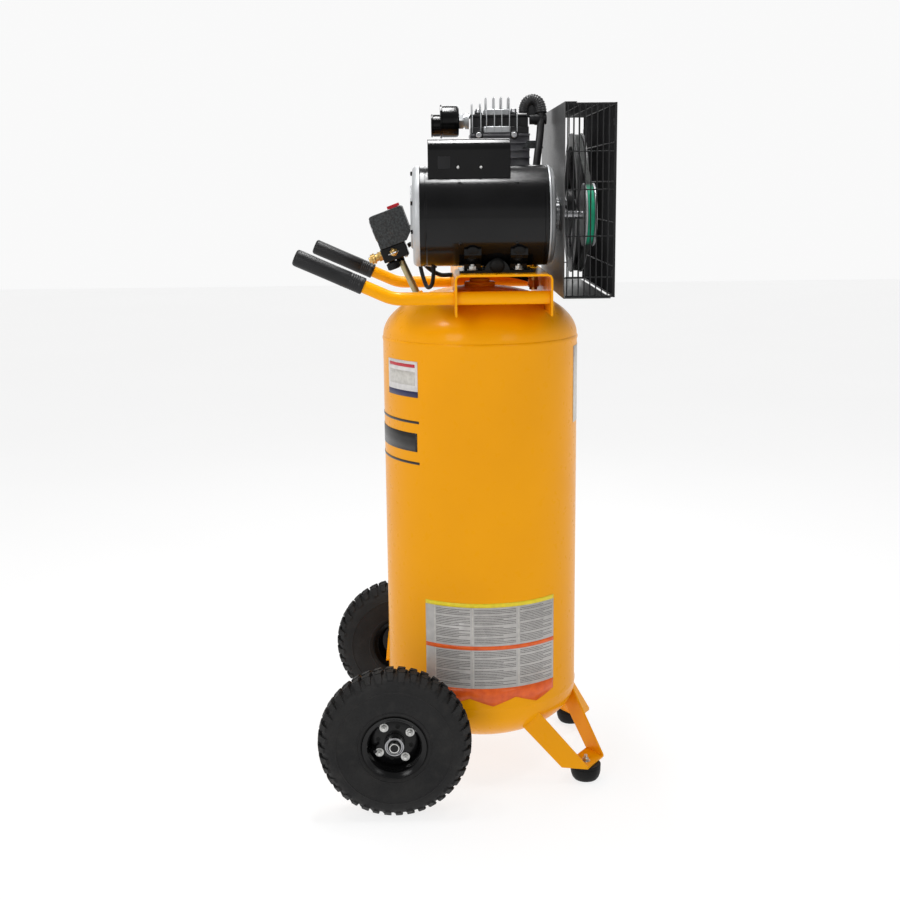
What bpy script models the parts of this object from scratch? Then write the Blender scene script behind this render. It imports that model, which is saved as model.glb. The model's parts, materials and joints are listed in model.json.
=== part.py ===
"""A belt-driven air compressor on an upright tank, with two wheels and two rubber feet.

Metres, +Z up. The front, with the handles and controls, faces -Y. The wheels turn about X, and the pump, the motor
and both pulleys turn about Y. Every piece is first placed from the tank's own axis, and the last step moves them all
along Y so that the whole object is centred on the world origin.
"""

from math import acos, cos, pi, radians, sin, sqrt

import bmesh
import bpy
from mathutils import Matrix, Vector

GAP = 0.0003  # between pieces that touch
CENTRE_SHIFT = 0.0551  # the tank's axis from the middle of the whole object

# Tank: a cylinder with two half-depth elliptical heads
TANK_R = 0.2032
TANK_WALL = 0.0030
HEAD_DEPTH = 0.1016
SEAM_LOW = 0.171
SEAM_HIGH = 0.935
BOSS_R = 0.032
PORT_R = 0.010
DRAIN_R = 0.006
DRAIN_Y = -0.045  # the drain is a little in front of the middle
DRAIN_FLANGE_R = 0.012
TANK_STEPS = 40

# Platform: one plate bent down at the front and the rear
PLATFORM_HALF = 0.245
PLATFORM_FRONT = -0.056
PLATFORM_REAR = 0.131
PLATFORM_TOP = 1.073
PLATFORM_FOOT = 0.993
PLATE = 0.004

# Handles
HANDLE_X = 0.225
HANDLE_Z = 1.027
HANDLE_R = 0.0127
HANDLE_BEND_Y = -0.1745
HANDLE_RISE = radians(23.9)
HANDLE_BEND_R = 0.080
GRIP_START = 0.061  # from the bend, along the raised stretch
GRIP_LENGTH = 0.142
GRIP_R = 0.0165

# Wheels
WHEEL_R = 0.154
WHEEL_X = 0.2942
WHEEL_Y = -0.186
AXLE_R = 0.012
BRACKET_X = 0.237
HUB_IN = -0.035
HUB_OUT = 0.030

# Rear feet
FOOT_ANGLE = radians(56.0)
FOOT_SPREADS = {-1: radians(22.0), 1: radians(24.0)}  # the outer and the inner leg's turn from the radial line
PAD_OUT = 0.283
PAD_HALF = 0.037
PAD_DEPTH = 0.055
PAD_UNDER = 0.036
FOOT_CENTRE = (0.1525, 0.2135)

# Motor
MOTOR_X = 0.130
MOTOR_Z = 1.1806
MOTOR_R = 0.097
SHELL_FRONT = -0.1215
SHELL_REAR = 0.1263
BELL_FRONT = -0.1394
BELL_REAR = 0.1385
BOSS_END = 0.1540  # the rear bell's hub passes through the guard
SHAFT_R = 0.008
BASE_HALF = 0.062
BASE_FRONT = -0.046
BASE_REAR = 0.098
SADDLE_FRONT = -0.0205
SADDLE_REAR = 0.0690
SADDLE_HALF = 0.0165
BASE_BOSS_Y = 0.0270
BASE_BOSS_R = 0.0250
BOSS_STEPS = 14

# Pump
PUMP_X = -0.090
PUMP_Z = 1.200
PUMP_Y = 0.046
PUMP_HALF_Y = 0.062
CASE_HALF_X = 0.055
CASE_TOP = 1.262
BLOCK_TOP = 1.344
HEAD_TOP = 1.384
FIN_TOP = 1.419
BORE_R = 0.0235
BORE_PITCH = 0.062
CRANK_THROW = 0.018

# Belt drive
BELT_Y = 0.2095
BELT_WIDTH = 0.0125
BELT_THICK = 0.0085
PULLEY_BELT_R = 0.050
WHEEL_BELT_R = 0.134
FLANGE_RISE = 0.011

# Belt guard
GUARD_HALF = 0.249
GUARD_FRONT = 0.150
GUARD_REAR = 0.248
GUARD_LOW = 1.0262
GUARD_TOP = 1.390
SHEET = 0.0015
WIRE = 0.0025

# Air lines: the hose's hole through the platform's front leg, and the check valve behind the tank's middle
HOSE_X = -0.045
HOSE_Z = 1.0545
VALVE_Y = 0.112
DISCHARGE_X = -0.056

# Controls: a frame of their own, leaning forward
CONTROL_Y = -0.186
CONTROL_Z = 1.157
CONTROL_TILT = radians(20.0)
GAUGE_R = 0.022


def clear_scene():
    for thing in list(bpy.data.objects):
        bpy.data.objects.remove(thing, do_unlink=True)


def paint(colour, roughness, metallic=0.0):
    def make(name):
        material = bpy.data.materials.new(name)
        material.use_nodes = True
        shader = material.node_tree.nodes["Principled BSDF"]
        shader.inputs["Base Color"].default_value = (*colour, 1.0)
        shader.inputs["Roughness"].default_value = roughness
        shader.inputs["Metallic"].default_value = metallic
        return material

    return make


YELLOW = paint((0.80, 0.45, 0.02), 0.35)
BLACK_PAINT = paint((0.015, 0.015, 0.016), 0.30)
RUBBER = paint((0.020, 0.020, 0.020), 0.85)
DARK_PLASTIC = paint((0.05, 0.05, 0.055), 0.65)
ALUMINIUM = paint((0.60, 0.60, 0.60), 0.40, 1.0)
STEEL = paint((0.50, 0.50, 0.50), 0.30, 1.0)
IRON = paint((0.12, 0.12, 0.12), 0.55, 0.6)
BRASS = paint((0.72, 0.52, 0.22), 0.30, 1.0)
RED = paint((0.65, 0.02, 0.02), 0.40)
GREEN = paint((0.02, 0.45, 0.25), 0.70)


# ---------------------------------------------------------------- shapes


def keep(name, mesh, finish, smooth=False):
    thing = bpy.data.objects.new(name, mesh)
    bpy.context.scene.collection.objects.link(thing)
    if finish:
        mesh.materials.append(finish(name))
    if smooth:
        for face in mesh.polygons:
            face.use_smooth = True
        mesh.set_sharp_from_angle(angle=radians(35))
    return thing


def finished(name, shape, finish, smooth=False):
    bmesh.ops.recalc_face_normals(shape, faces=shape.faces)
    mesh = bpy.data.meshes.new(name)
    shape.to_mesh(mesh)
    shape.free()
    return keep(name, mesh, finish, smooth)


def aim(direction):
    """A turn that takes +Z to the direction."""
    return Vector((0, 0, 1)).rotation_difference(Vector(direction)).to_matrix().to_4x4()


def spin_profile(shape, profile, steps, turn):
    """Adds a solid of revolution: the profile is (radius, height), closed on itself or ending on the axis."""
    rings = []
    for radius, height in profile:
        count = steps if radius > 0 else 1
        ring = []
        for k in range(count):
            angle = 2 * pi * k / steps
            point = Vector((radius * cos(angle), radius * sin(angle), height))
            ring.append(shape.verts.new(turn @ point))
        rings.append(ring)
    open_ends = profile[0][0] == 0
    pairs = list(zip(rings, rings[1:]))
    if not open_ends:
        pairs.append((rings[-1], rings[0]))
    for one, two in pairs:
        for k in range(steps):
            corners = [one[k % len(one)], one[(k + 1) % len(one)]]
            corners += [two[(k + 1) % len(two)], two[k % len(two)]]
            unique = list(dict.fromkeys(corners))
            if len(unique) > 2:
                shape.faces.new(unique)


def turned(name, profile, finish, place=(0, 0, 0), direction=(0, 0, 1), steps=32):
    shape = bmesh.new()
    spin_profile(shape, profile, steps, aim(direction))
    thing = finished(name, shape, finish, smooth=True)
    thing.location = place
    return thing


def extrude_outline(shape, outline, low, high, to_world):
    """Adds a prism: the outline lies in the first two axes and runs from low to high along the third."""
    ends = []
    for height in (low, high):
        ends.append([shape.verts.new(to_world(a, b, height)) for a, b in outline])
    shape.faces.new(ends[0])
    shape.faces.new(ends[1])
    for k in range(len(outline)):
        j = (k + 1) % len(outline)
        shape.faces.new((ends[0][k], ends[0][j], ends[1][j], ends[1][k]))


AXES = {
    "X": lambda a, b, c: Vector((c, a, b)),
    "Y": lambda a, b, c: Vector((a, c, b)),
    "Z": lambda a, b, c: Vector((a, b, c)),
}


def prism(name, outline, low, high, along, finish, place=(0, 0, 0)):
    shape = bmesh.new()
    extrude_outline(shape, outline, low, high, AXES[along])
    thing = finished(name, shape, finish)
    thing.location = place
    return thing


def block(name, low, high, finish, place=(0, 0, 0)):
    outline = [(low[0], low[1]), (high[0], low[1]), (high[0], high[1]), (low[0], high[1])]
    return prism(name, outline, low[2], high[2], "Z", finish, place)


def rounded_box(a_low, b_low, a_high, b_high, radius, steps=4):
    corners = (
        (a_high - radius, b_high - radius, 0.0),
        (a_low + radius, b_high - radius, pi / 2),
        (a_low + radius, b_low + radius, pi),
        (a_high - radius, b_low + radius, 3 * pi / 2),
    )
    outline = []
    for a, b, start in corners:
        for k in range(steps + 1):
            angle = start + k * pi / 2 / steps
            outline.append((a + radius * cos(angle), b + radius * sin(angle)))
    return outline


def circle(a, b, radius, steps=24):
    return [(a + radius * cos(2 * pi * k / steps), b + radius * sin(2 * pi * k / steps)) for k in range(steps)]


def cylinders(name, spots, radius, low, high, along, steps=24):
    """Several separate rods in one cutter, along one axis."""
    shape = bmesh.new()
    for a, b in spots:
        extrude_outline(shape, circle(a, b, radius, steps), low, high, AXES[along])
    return finished(name, shape, None)


def combine(target, tool, operation):
    tool.hide_render = True
    tool.display_type = "WIRE"
    step = target.modifiers.new(tool.name, "BOOLEAN")
    step.operation = operation
    step.solver = "EXACT"
    step.object = tool


def cut(target, tool):
    combine(target, tool, "DIFFERENCE")


def weld(target, tool):
    combine(target, tool, "UNION")


def tube(name, points, radius, finish, resolution=3):
    curve = bpy.data.curves.new(name, "CURVE")
    curve.dimensions = "3D"
    curve.bevel_depth = radius
    curve.bevel_resolution = resolution
    curve.use_fill_caps = True
    line = curve.splines.new("POLY")
    line.points.add(len(points) - 1)
    for spot, point in zip(line.points, points):
        spot.co = (*point, 1.0)
    thing = bpy.data.objects.new(name, curve)
    bpy.context.scene.collection.objects.link(thing)
    curve.materials.append(finish(name))
    return thing


def smooth_route(stops, spacing):
    """Points along a smooth curve through the stops."""
    stops = [Vector(stop) for stop in stops]
    ends = [2 * stops[0] - stops[1], *stops, 2 * stops[-1] - stops[-2]]
    points = [stops[0]]
    for k in range(1, len(stops)):
        before, start, end, after = ends[k - 1 : k + 3]
        steps = max(1, round((end - start).length / spacing))
        for n in range(1, steps + 1):
            t = n / steps
            a = 2 * start + (end - before) * t
            b = (2 * before - 5 * start + 4 * end - after) * t**2
            c = (3 * start - before - 3 * end + after) * t**3
            points.append((a + b + c) / 2)
    return points


def parent_to(holder, *things):
    for thing in things:
        thing.parent = holder


# ---------------------------------------------------------------- tank


def head_height(radius, grow=0.0):
    """How far a tank head rises above its seam at this radius."""
    share = radius / (TANK_R + grow)
    return (HEAD_DEPTH + grow) * sqrt(max(0.0, 1 - share * share))


def head_curve(radius_from, radius_to, seam, way, grow, steps=7):
    """Points along one elliptical head between two radii."""
    start = acos(radius_from / (TANK_R + grow))
    end = acos(min(1.0, radius_to / (TANK_R + grow)))
    points = []
    for k in range(steps + 1):
        angle = start + (end - start) * k / steps
        points.append(((TANK_R + grow) * cos(angle), seam + way * (HEAD_DEPTH + grow) * sin(angle)))
    return points


def tank_outside(grow):
    low = [(0.0, SEAM_LOW - HEAD_DEPTH - grow)]
    low += head_curve(DRAIN_R, TANK_R + grow, SEAM_LOW, -1, grow)
    top = head_curve(BOSS_R, TANK_R + grow, SEAM_HIGH, 1, grow)
    return low + top[::-1]


def tank_cutter():
    """The tank's outer shape, a gap larger, for trimming what is welded to it."""
    outside = tank_outside(GAP)
    profile = outside + [(0.0, outside[-1][1])]
    return turned("tank_cutter", profile, None, steps=TANK_STEPS)


def make_tank():
    inner_low = [(0.0, SEAM_LOW - HEAD_DEPTH + TANK_WALL)]
    inner_low += head_curve(DRAIN_R, TANK_R - TANK_WALL, SEAM_LOW, -1, -TANK_WALL, 3)
    inner_top = head_curve(PORT_R, TANK_R - TANK_WALL, SEAM_HIGH, 1, -TANK_WALL, 3)
    boss = [
        (BOSS_R, 1.0435),
        (0.021, 1.0435),
        (0.021, 1.0500),
        (PORT_R, 1.0500),
    ]
    profile = tank_outside(0.0) + boss + inner_top + inner_low[::-1]
    tank = turned("tank", profile, YELLOW, steps=TANK_STEPS)
    cut(tank, cylinders("drain_port", [(0.0, DRAIN_Y)], DRAIN_R, 0.05, 0.10, "Z", 24))


def make_drain():
    seat = SEAM_LOW - head_height(abs(DRAIN_Y) - DRAIN_FLANGE_R)
    body = [
        (0.0, seat - 0.030),
        (0.0065, seat - 0.030),
        (0.0065, seat - 0.022),
        (0.0095, seat - 0.022),
        (0.0095, seat - 0.006),
        (DRAIN_FLANGE_R, seat - 0.006),
        (DRAIN_FLANGE_R, seat - GAP),
        (0.0, seat - GAP),
    ]
    turned("drain_valve", body, BRASS, (0, DRAIN_Y, 0), steps=24)
    wing = rounded_box(-0.015, -0.004, 0.015, 0.004, 0.0035, 3)
    prism("drain_handle", wing, seat - 0.0373, seat - 0.0303, "Z", BRASS, (0, DRAIN_Y, 0))


# ---------------------------------------------------------------- platform and handles


def make_platform(trim):
    outline = [
        (PLATFORM_FRONT, PLATFORM_FOOT),
        (PLATFORM_FRONT + PLATE, PLATFORM_FOOT),
        (PLATFORM_FRONT + PLATE, PLATFORM_TOP - 0.010),
        (PLATFORM_FRONT + 0.0055, PLATFORM_TOP - 0.0055),
        (PLATFORM_FRONT + 0.010, PLATFORM_TOP - PLATE),
        (PLATFORM_REAR - 0.010, PLATFORM_TOP - PLATE),
        (PLATFORM_REAR - 0.0055, PLATFORM_TOP - 0.0055),
        (PLATFORM_REAR - PLATE, PLATFORM_TOP - 0.010),
        (PLATFORM_REAR - PLATE, PLATFORM_FOOT),
        (PLATFORM_REAR, PLATFORM_FOOT),
        (PLATFORM_REAR, PLATFORM_TOP - 0.010),
        (PLATFORM_REAR - 0.003, PLATFORM_TOP - 0.003),
        (PLATFORM_REAR - 0.010, PLATFORM_TOP),
        (PLATFORM_FRONT + 0.010, PLATFORM_TOP),
        (PLATFORM_FRONT + 0.003, PLATFORM_TOP - 0.003),
        (PLATFORM_FRONT, PLATFORM_TOP - 0.010),
    ]
    platform = prism("platform", outline, -PLATFORM_HALF, PLATFORM_HALF, "X", YELLOW)
    cut(platform, trim)
    spots = [(-HANDLE_X, HANDLE_Z), (HANDLE_X, HANDLE_Z)]
    low = PLATFORM_FRONT - 0.01
    cut(platform, cylinders("handle_holes", spots, HANDLE_R + GAP, low, low + 0.03, "Y"))
    cut(platform, cylinders("hose_hole", [(HOSE_X, HOSE_Z)], 0.0068, low, low + 0.03, "Y"))
    cut(platform, cylinders("discharge_hole", [(0.0, VALVE_Y)], 0.0115, 1.06, 1.09, "Z"))


def make_handle(side, x):
    rise_y = -cos(HANDLE_RISE)
    rise_z = sin(HANDLE_RISE)
    reach = HANDLE_BEND_R * sin(HANDLE_RISE / 2) / cos(HANDLE_RISE / 2)
    bend = Vector((x, HANDLE_BEND_Y, HANDLE_Z))
    along = Vector((0, rise_y, rise_z))
    points = [Vector((x, PLATFORM_REAR - PLATE - GAP, HANDLE_Z))]
    for k in range(7):
        angle = HANDLE_RISE * k / 6
        start = bend + Vector((0, reach, 0))
        points.append(start + HANDLE_BEND_R * Vector((0, -sin(angle), 1 - cos(angle))))
    points.append(bend + along * (GRIP_START + GRIP_LENGTH - 0.006))
    tube(f"handle_tube_{side}", points, HANDLE_R, YELLOW, 3)
    sleeve = [
        (HANDLE_R + GAP, 0.0),
        (GRIP_R - 0.001, 0.0),
        (GRIP_R, 0.002),
        (GRIP_R, GRIP_LENGTH - 0.003),
        (GRIP_R - 0.003, GRIP_LENGTH),
        (0.0, GRIP_LENGTH),
    ]
    inside = [(0.0, GRIP_LENGTH - 0.005), (HANDLE_R + GAP, GRIP_LENGTH - 0.005)]
    turned(f"handle_grip_{side}", inside + sleeve, RUBBER, bend + along * GRIP_START, along, 20)


# ---------------------------------------------------------------- wheels and feet


def make_wheel(side, way, trim):
    x = way * WHEEL_X
    holder = bpy.data.objects.new(f"wheel_{side}_axis", None)
    bpy.context.scene.collection.objects.link(holder)
    holder.location = (x, WHEEL_Y, WHEEL_R)
    out = (way, 0, 0)
    rim = [
        (AXLE_R + 0.0005, HUB_IN),
        (0.019, HUB_IN),
        (0.021, -0.002),
        (0.052, -0.004),
        (0.052, -0.030),
        (0.0635, -0.034),
        (0.0635, -0.031),
        (0.0555, -0.027),
        (0.0555, 0.027),
        (0.0635, 0.031),
        (0.0635, 0.034),
        (0.052, 0.030),
        (0.052, 0.001),
        (0.046, 0.004),
        (0.021, 0.004),
        (0.019, HUB_OUT),
        (AXLE_R + 0.0005, HUB_OUT),
    ]
    wall = [
        (0.0562, 0.0255),
        (0.0645, 0.0297),
        (0.0680, 0.0340),
        (0.0900, 0.0400),
        (0.1200, 0.0385),
        (0.1400, 0.0310),
        (0.1510, 0.0200),
        (WHEEL_R, 0.0080),
    ]
    tyre = wall + [(radius, -height) for radius, height in reversed(wall)]
    rim_thing = turned(f"wheel_rim_{side}", rim, BLACK_PAINT, direction=out, steps=24)
    tyre_thing = turned(f"wheel_tyre_{side}", tyre, RUBBER, direction=out, steps=32)
    parent_to(holder, rim_thing, tyre_thing)

    base = BRACKET_X - 0.032
    axle = [
        (0.0, 0.0),
        (0.014, 0.0),
        (0.014, 0.008),
        (AXLE_R - 0.0005, 0.008),
        (AXLE_R - 0.0005, BRACKET_X + GAP - base),
        (0.016, BRACKET_X + GAP - base),
        (0.016, WHEEL_X + HUB_IN - GAP - base),
        (AXLE_R - 0.0005, WHEEL_X + HUB_IN - GAP - base),
        (AXLE_R - 0.0005, WHEEL_X + HUB_OUT + GAP - base),
        (0.0145, WHEEL_X + HUB_OUT + GAP - base),
        (0.0145, WHEEL_X + HUB_OUT + 0.007 - base),
        (0.0, WHEEL_X + HUB_OUT + 0.007 - base),
    ]
    turned(f"wheel_axle_{side}", axle, STEEL, (way * base, WHEEL_Y, WHEEL_R), out, 18)

    web = BRACKET_X - 0.005
    outline = [
        (0.050, 0.108),
        (BRACKET_X, 0.108),
        (BRACKET_X, 0.199),
        (0.050, 0.199),
        (0.050, 0.195),
        (web, 0.195),
        (web, 0.112),
        (0.050, 0.112),
    ]
    outline = [(way * a, b) for a, b in outline]
    bracket = prism(f"wheel_bracket_{side}", outline, -0.213, -0.152, "Y", YELLOW)
    cut(bracket, trim)
    low, high = sorted((way * (web - 0.01), way * (BRACKET_X + 0.01)))
    hole = cylinders(f"axle_hole_{side}", [(WHEEL_Y, WHEEL_R)], AXLE_R, low, high, "X")
    cut(bracket, hole)


def make_foot(side, way, trim):
    outward = Vector((way * cos(FOOT_ANGLE), sin(FOOT_ANGLE), 0))
    across = Vector((-way * sin(FOOT_ANGLE), cos(FOOT_ANGLE), 0))
    strip = [
        (0.0, PAD_UNDER),
        (PAD_DEPTH, PAD_UNDER),
        (0.170, 0.155),
        (0.130, 0.185),
        (0.0, PAD_UNDER + 0.006),
    ]
    corners = []
    legs = []
    for turn in (-1, 1):
        spread = FOOT_SPREADS[turn]
        corner = outward * PAD_OUT + across * turn * PAD_HALF
        inward = -outward * cos(spread) + across * turn * sin(spread)
        middle = across * -turn * cos(spread) - outward * sin(spread)
        shape = bmesh.new()

        def to_world(s, z, depth, corner=corner, inward=inward, middle=middle):
            return corner + inward * s + middle * depth + Vector((0, 0, z))

        extrude_outline(shape, strip, 0.0, PLATE, to_world)
        legs.append(finished(f"foot_leg_{side}_{turn + 1}", shape, None))
        corners.append((corner, corner + inward * PAD_DEPTH))
    (a, a_in), (b, b_in) = corners
    outline = [(p.x, p.y) for p in (a, b, b_in, a_in)]
    bracket = prism(f"foot_bracket_{side}", outline, PAD_UNDER, PAD_UNDER + PLATE, "Z", YELLOW)
    for leg in legs:
        weld(bracket, leg)
    cut(bracket, trim)
    profile = [
        (0.0, 0.0),
        (0.020, 0.0),
        (0.028, 0.007),
        (0.032, 0.020),
        (0.032, PAD_UNDER - GAP),
        (0.0, PAD_UNDER - GAP),
    ]
    place = (way * FOOT_CENTRE[0], FOOT_CENTRE[1], 0)
    turned(f"foot_rubber_{side}", profile, RUBBER, place, steps=28)


# ---------------------------------------------------------------- motor


def make_motor():
    place = (MOTOR_X, 0, MOTOR_Z)
    along = (0, 1, 0)
    shell = [
        (MOTOR_R, SHELL_FRONT),
        (MOTOR_R, SHELL_REAR),
        (MOTOR_R - 0.003, SHELL_REAR),
        (MOTOR_R - 0.003, SHELL_FRONT),
    ]
    turned("motor_shell", shell, BLACK_PAINT, place, along, 32)
    front = [
        (0.0, BELL_FRONT),
        (0.060, BELL_FRONT),
        (0.090, BELL_FRONT + 0.004),
        (MOTOR_R, BELL_FRONT + 0.010),
        (MOTOR_R, SHELL_FRONT - GAP),
        (0.030, SHELL_FRONT - GAP),
        (0.030, SHELL_FRONT - 0.010),
        (0.0, SHELL_FRONT - 0.010),
    ]
    turned("motor_front_bell", front, ALUMINIUM, place, along, 32)
    hole = SHAFT_R + 0.0005
    rear = [
        (hole, SHELL_REAR + GAP),
        (MOTOR_R, SHELL_REAR + GAP),
        (MOTOR_R, BELL_REAR - 0.009),
        (0.091, BELL_REAR - 0.003),
        (0.060, BELL_REAR),
        (0.028, BELL_REAR),
        (0.028, BOSS_END),
        (hole, BOSS_END),
    ]
    turned("motor_rear_bell", rear, ALUMINIUM, place, along, 32)
    stator = [(0.058, -0.070), (0.0935, -0.070), (0.0935, 0.070), (0.058, 0.070)]
    turned("motor_stator", stator, IRON, place, along, 24)
    pulley_back = BELT_Y - 0.011
    rotor = [
        (0.0, SHELL_FRONT - 0.005),
        (SHAFT_R, SHELL_FRONT - 0.005),
        (SHAFT_R, -0.070),
        (0.0572, -0.070),
        (0.0572, 0.070),
        (SHAFT_R, 0.070),
        (SHAFT_R, pulley_back + 0.026),
        (0.0, pulley_back + 0.026),
    ]
    turned("motor_rotor", rotor, STEEL, place, along, 24)
    groove = PULLEY_BELT_R - 0.0005
    half = BELT_WIDTH / 2 + 0.0005
    flange = PULLEY_BELT_R + FLANGE_RISE
    pulley = [
        (SHAFT_R + GAP, pulley_back),
        (flange, pulley_back),
        (flange, BELT_Y - half),
        (groove, BELT_Y - half),
        (groove, BELT_Y + half),
        (flange, BELT_Y + half),
        (flange, BELT_Y + 0.011),
        (SHAFT_R + GAP, BELT_Y + 0.011),
    ]
    turned("motor_pulley", pulley, ALUMINIUM, place, along, 28)


def make_motor_base():
    """A plate with a saddle under each end of the shell and a round boss between them."""
    low = PLATFORM_TOP + GAP
    front, rear = MOTOR_X - BASE_HALF, MOTOR_X + BASE_HALF
    base = block("motor_base", (front, BASE_FRONT, low), (rear, BASE_REAR, low + PLATE), BLACK_PAINT)
    half = [
        (0.048, low + 0.002),
        (0.050, low + 0.016),
        (0.074, 1.102),
        (0.080, 1.108),
        (0.080, 1.120),
    ]
    outline = [(MOTOR_X + x, z) for x, z in half]
    outline += [(MOTOR_X - x, z) for x, z in reversed(half)]
    for name, middle in (("front", SADDLE_FRONT), ("rear", SADDLE_REAR)):
        saddle = prism(f"saddle_{name}", outline, middle - SADDLE_HALF, middle + SADDLE_HALF, "Y", None)
        weld(base, saddle)
    boss = []
    for k in range(BOSS_STEPS + 1):
        angle = pi * k / BOSS_STEPS
        boss.append((BASE_BOSS_Y + BASE_BOSS_R * cos(angle), low + 0.001 + BASE_BOSS_R * sin(angle)))
    weld(base, prism("base_boss", boss, front + 0.001, rear - 0.001, "X", None))
    room = [(MOTOR_X, MOTOR_Z)]
    cut(base, cylinders("motor_room", room, MOTOR_R + GAP, -0.06, 0.11, "Y", 32))


def make_capacitor():
    low, high = -0.1047, 0.0529
    x_low, x_high = MOTOR_X - 0.030, MOTOR_X + 0.066
    z_low, z_high = 1.2480, 1.3270
    outline = rounded_box(x_low, z_low, x_high, z_high, 0.024, 6)[:14]
    outline += [(x_low, z_low), (x_high, z_low)]
    cover = prism("capacitor_cover", outline, low, high, "Y", BLACK_PAINT)
    wall = 0.002
    inside = rounded_box(x_low + wall, z_low - 0.02, x_high - wall, z_high - wall, 0.022, 6)[:14]
    inside += [(x_low + wall, z_low - 0.02), (x_high - wall, z_low - 0.02)]
    hollow = prism("capacitor_room", inside, low + wall, high - wall, "Y", None)
    cut(cover, hollow)
    spots = [(MOTOR_X, MOTOR_Z)]
    cut(cover, cylinders("capacitor_seat", spots, MOTOR_R + GAP, low - 0.01, high + 0.01, "Y", 32))


# ---------------------------------------------------------------- pump


def make_crankcase():
    front = PUMP_Y - PUMP_HALF_Y - 0.008
    rear = PUMP_Y + PUMP_HALF_Y + 0.008
    outline = rounded_box(PUMP_X - CASE_HALF_X, PLATFORM_TOP + GAP, PUMP_X + CASE_HALF_X, CASE_TOP, 0.006, 2)
    case = prism("crankcase", outline, front, rear, "Y", IRON)
    half = CASE_HALF_X - 0.010
    room = block(
        "crankcase_room",
        (PUMP_X - half, front + 0.008, 1.105),
        (PUMP_X + half, rear - 0.008, CASE_TOP + 0.02),
        None,
    )
    cut(case, room)
    axis = [(PUMP_X, PUMP_Z)]
    cut(case, cylinders("crank_bore", axis, 0.0135, rear - 0.02, rear + 0.02, "Y"))
    cut(case, cylinders("cover_bore", axis, 0.034, front - 0.02, front + 0.02, "Y", 24))
    cover = [
        (0.0, -0.012),
        (0.020, -0.012),
        (0.024, -0.008),
        (0.042, -0.006),
        (0.042, -GAP),
        (0.0335, -GAP),
        (0.0335, 0.006),
        (0.0, 0.006),
    ]
    turned("crankcase_cover", cover, IRON, (PUMP_X, front, PUMP_Z), (0, 1, 0), 24)


def make_cylinders():
    fins = 5
    pitch = (BLOCK_TOP - CASE_TOP - 0.006) / fins
    side = []
    for k in range(fins):
        base = CASE_TOP + GAP + 0.004 + k * pitch
        side += [(0.036, base), (0.036, base + pitch - 0.003), (0.050, base + pitch - 0.003)]
        side += [(0.050, base + pitch)]
    side[-1] = (0.050, BLOCK_TOP - GAP)
    right = [(0.050, CASE_TOP + GAP), (0.050, CASE_TOP + GAP + 0.004)] + side
    outline = [(PUMP_X + a, b) for a, b in right]
    outline += [(PUMP_X - a, b) for a, b in reversed(right)]
    low, high = PUMP_Y - PUMP_HALF_Y, PUMP_Y + PUMP_HALF_Y
    cylinder_block = prism("cylinder_block", outline, low, high, "Y", ALUMINIUM)
    spots = [(PUMP_X, PUMP_Y - BORE_PITCH / 2), (PUMP_X, PUMP_Y + BORE_PITCH / 2)]
    bores = cylinders("cylinder_bores", spots, BORE_R, CASE_TOP - 0.01, BLOCK_TOP + 0.01, "Z", 28)
    cut(cylinder_block, bores)


def make_head():
    low, high = PUMP_Y - PUMP_HALF_Y, PUMP_Y + PUMP_HALF_Y
    fins = [
        (0.0050, 1.407),
        (0.0225, 1.407),
        (0.0343, FIN_TOP),
        (0.0507, FIN_TOP),
        (0.0659, FIN_TOP),
        (0.0817, FIN_TOP),
    ]
    outline = [(low, BLOCK_TOP), (high, BLOCK_TOP), (high, HEAD_TOP)]
    for offset, top in reversed(fins):
        y = low + offset
        outline += [(y + 0.001, HEAD_TOP), (y + 0.0007, top), (y - 0.0007, top), (y - 0.001, HEAD_TOP)]
    outline.append((low, HEAD_TOP))
    prism("cylinder_head", outline, PUMP_X - 0.048, PUMP_X + 0.048, "X", ALUMINIUM)


def make_pistons():
    for name, way in (("piston_front", 1), ("piston_rear", -1)):
        y = PUMP_Y - way * BORE_PITCH / 2
        crown = BLOCK_TOP - 0.0015 - (0 if way > 0 else 2 * CRANK_THROW)
        profile = [(0.0, crown - 0.036), (BORE_R - 0.0005, crown - 0.036), (BORE_R - 0.0005, crown), (0.0, crown)]
        piston = turned(name, profile, ALUMINIUM, (PUMP_X, y, 0), steps=24)
        foot = PUMP_Z + CRANK_THROW + 0.010
        rod = block(
            f"{name}_rod",
            (PUMP_X - 0.007, y - 0.005, foot),
            (PUMP_X + 0.007, y + 0.005, crown - 0.030),
            None,
        )
        weld(piston, rod)


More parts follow.
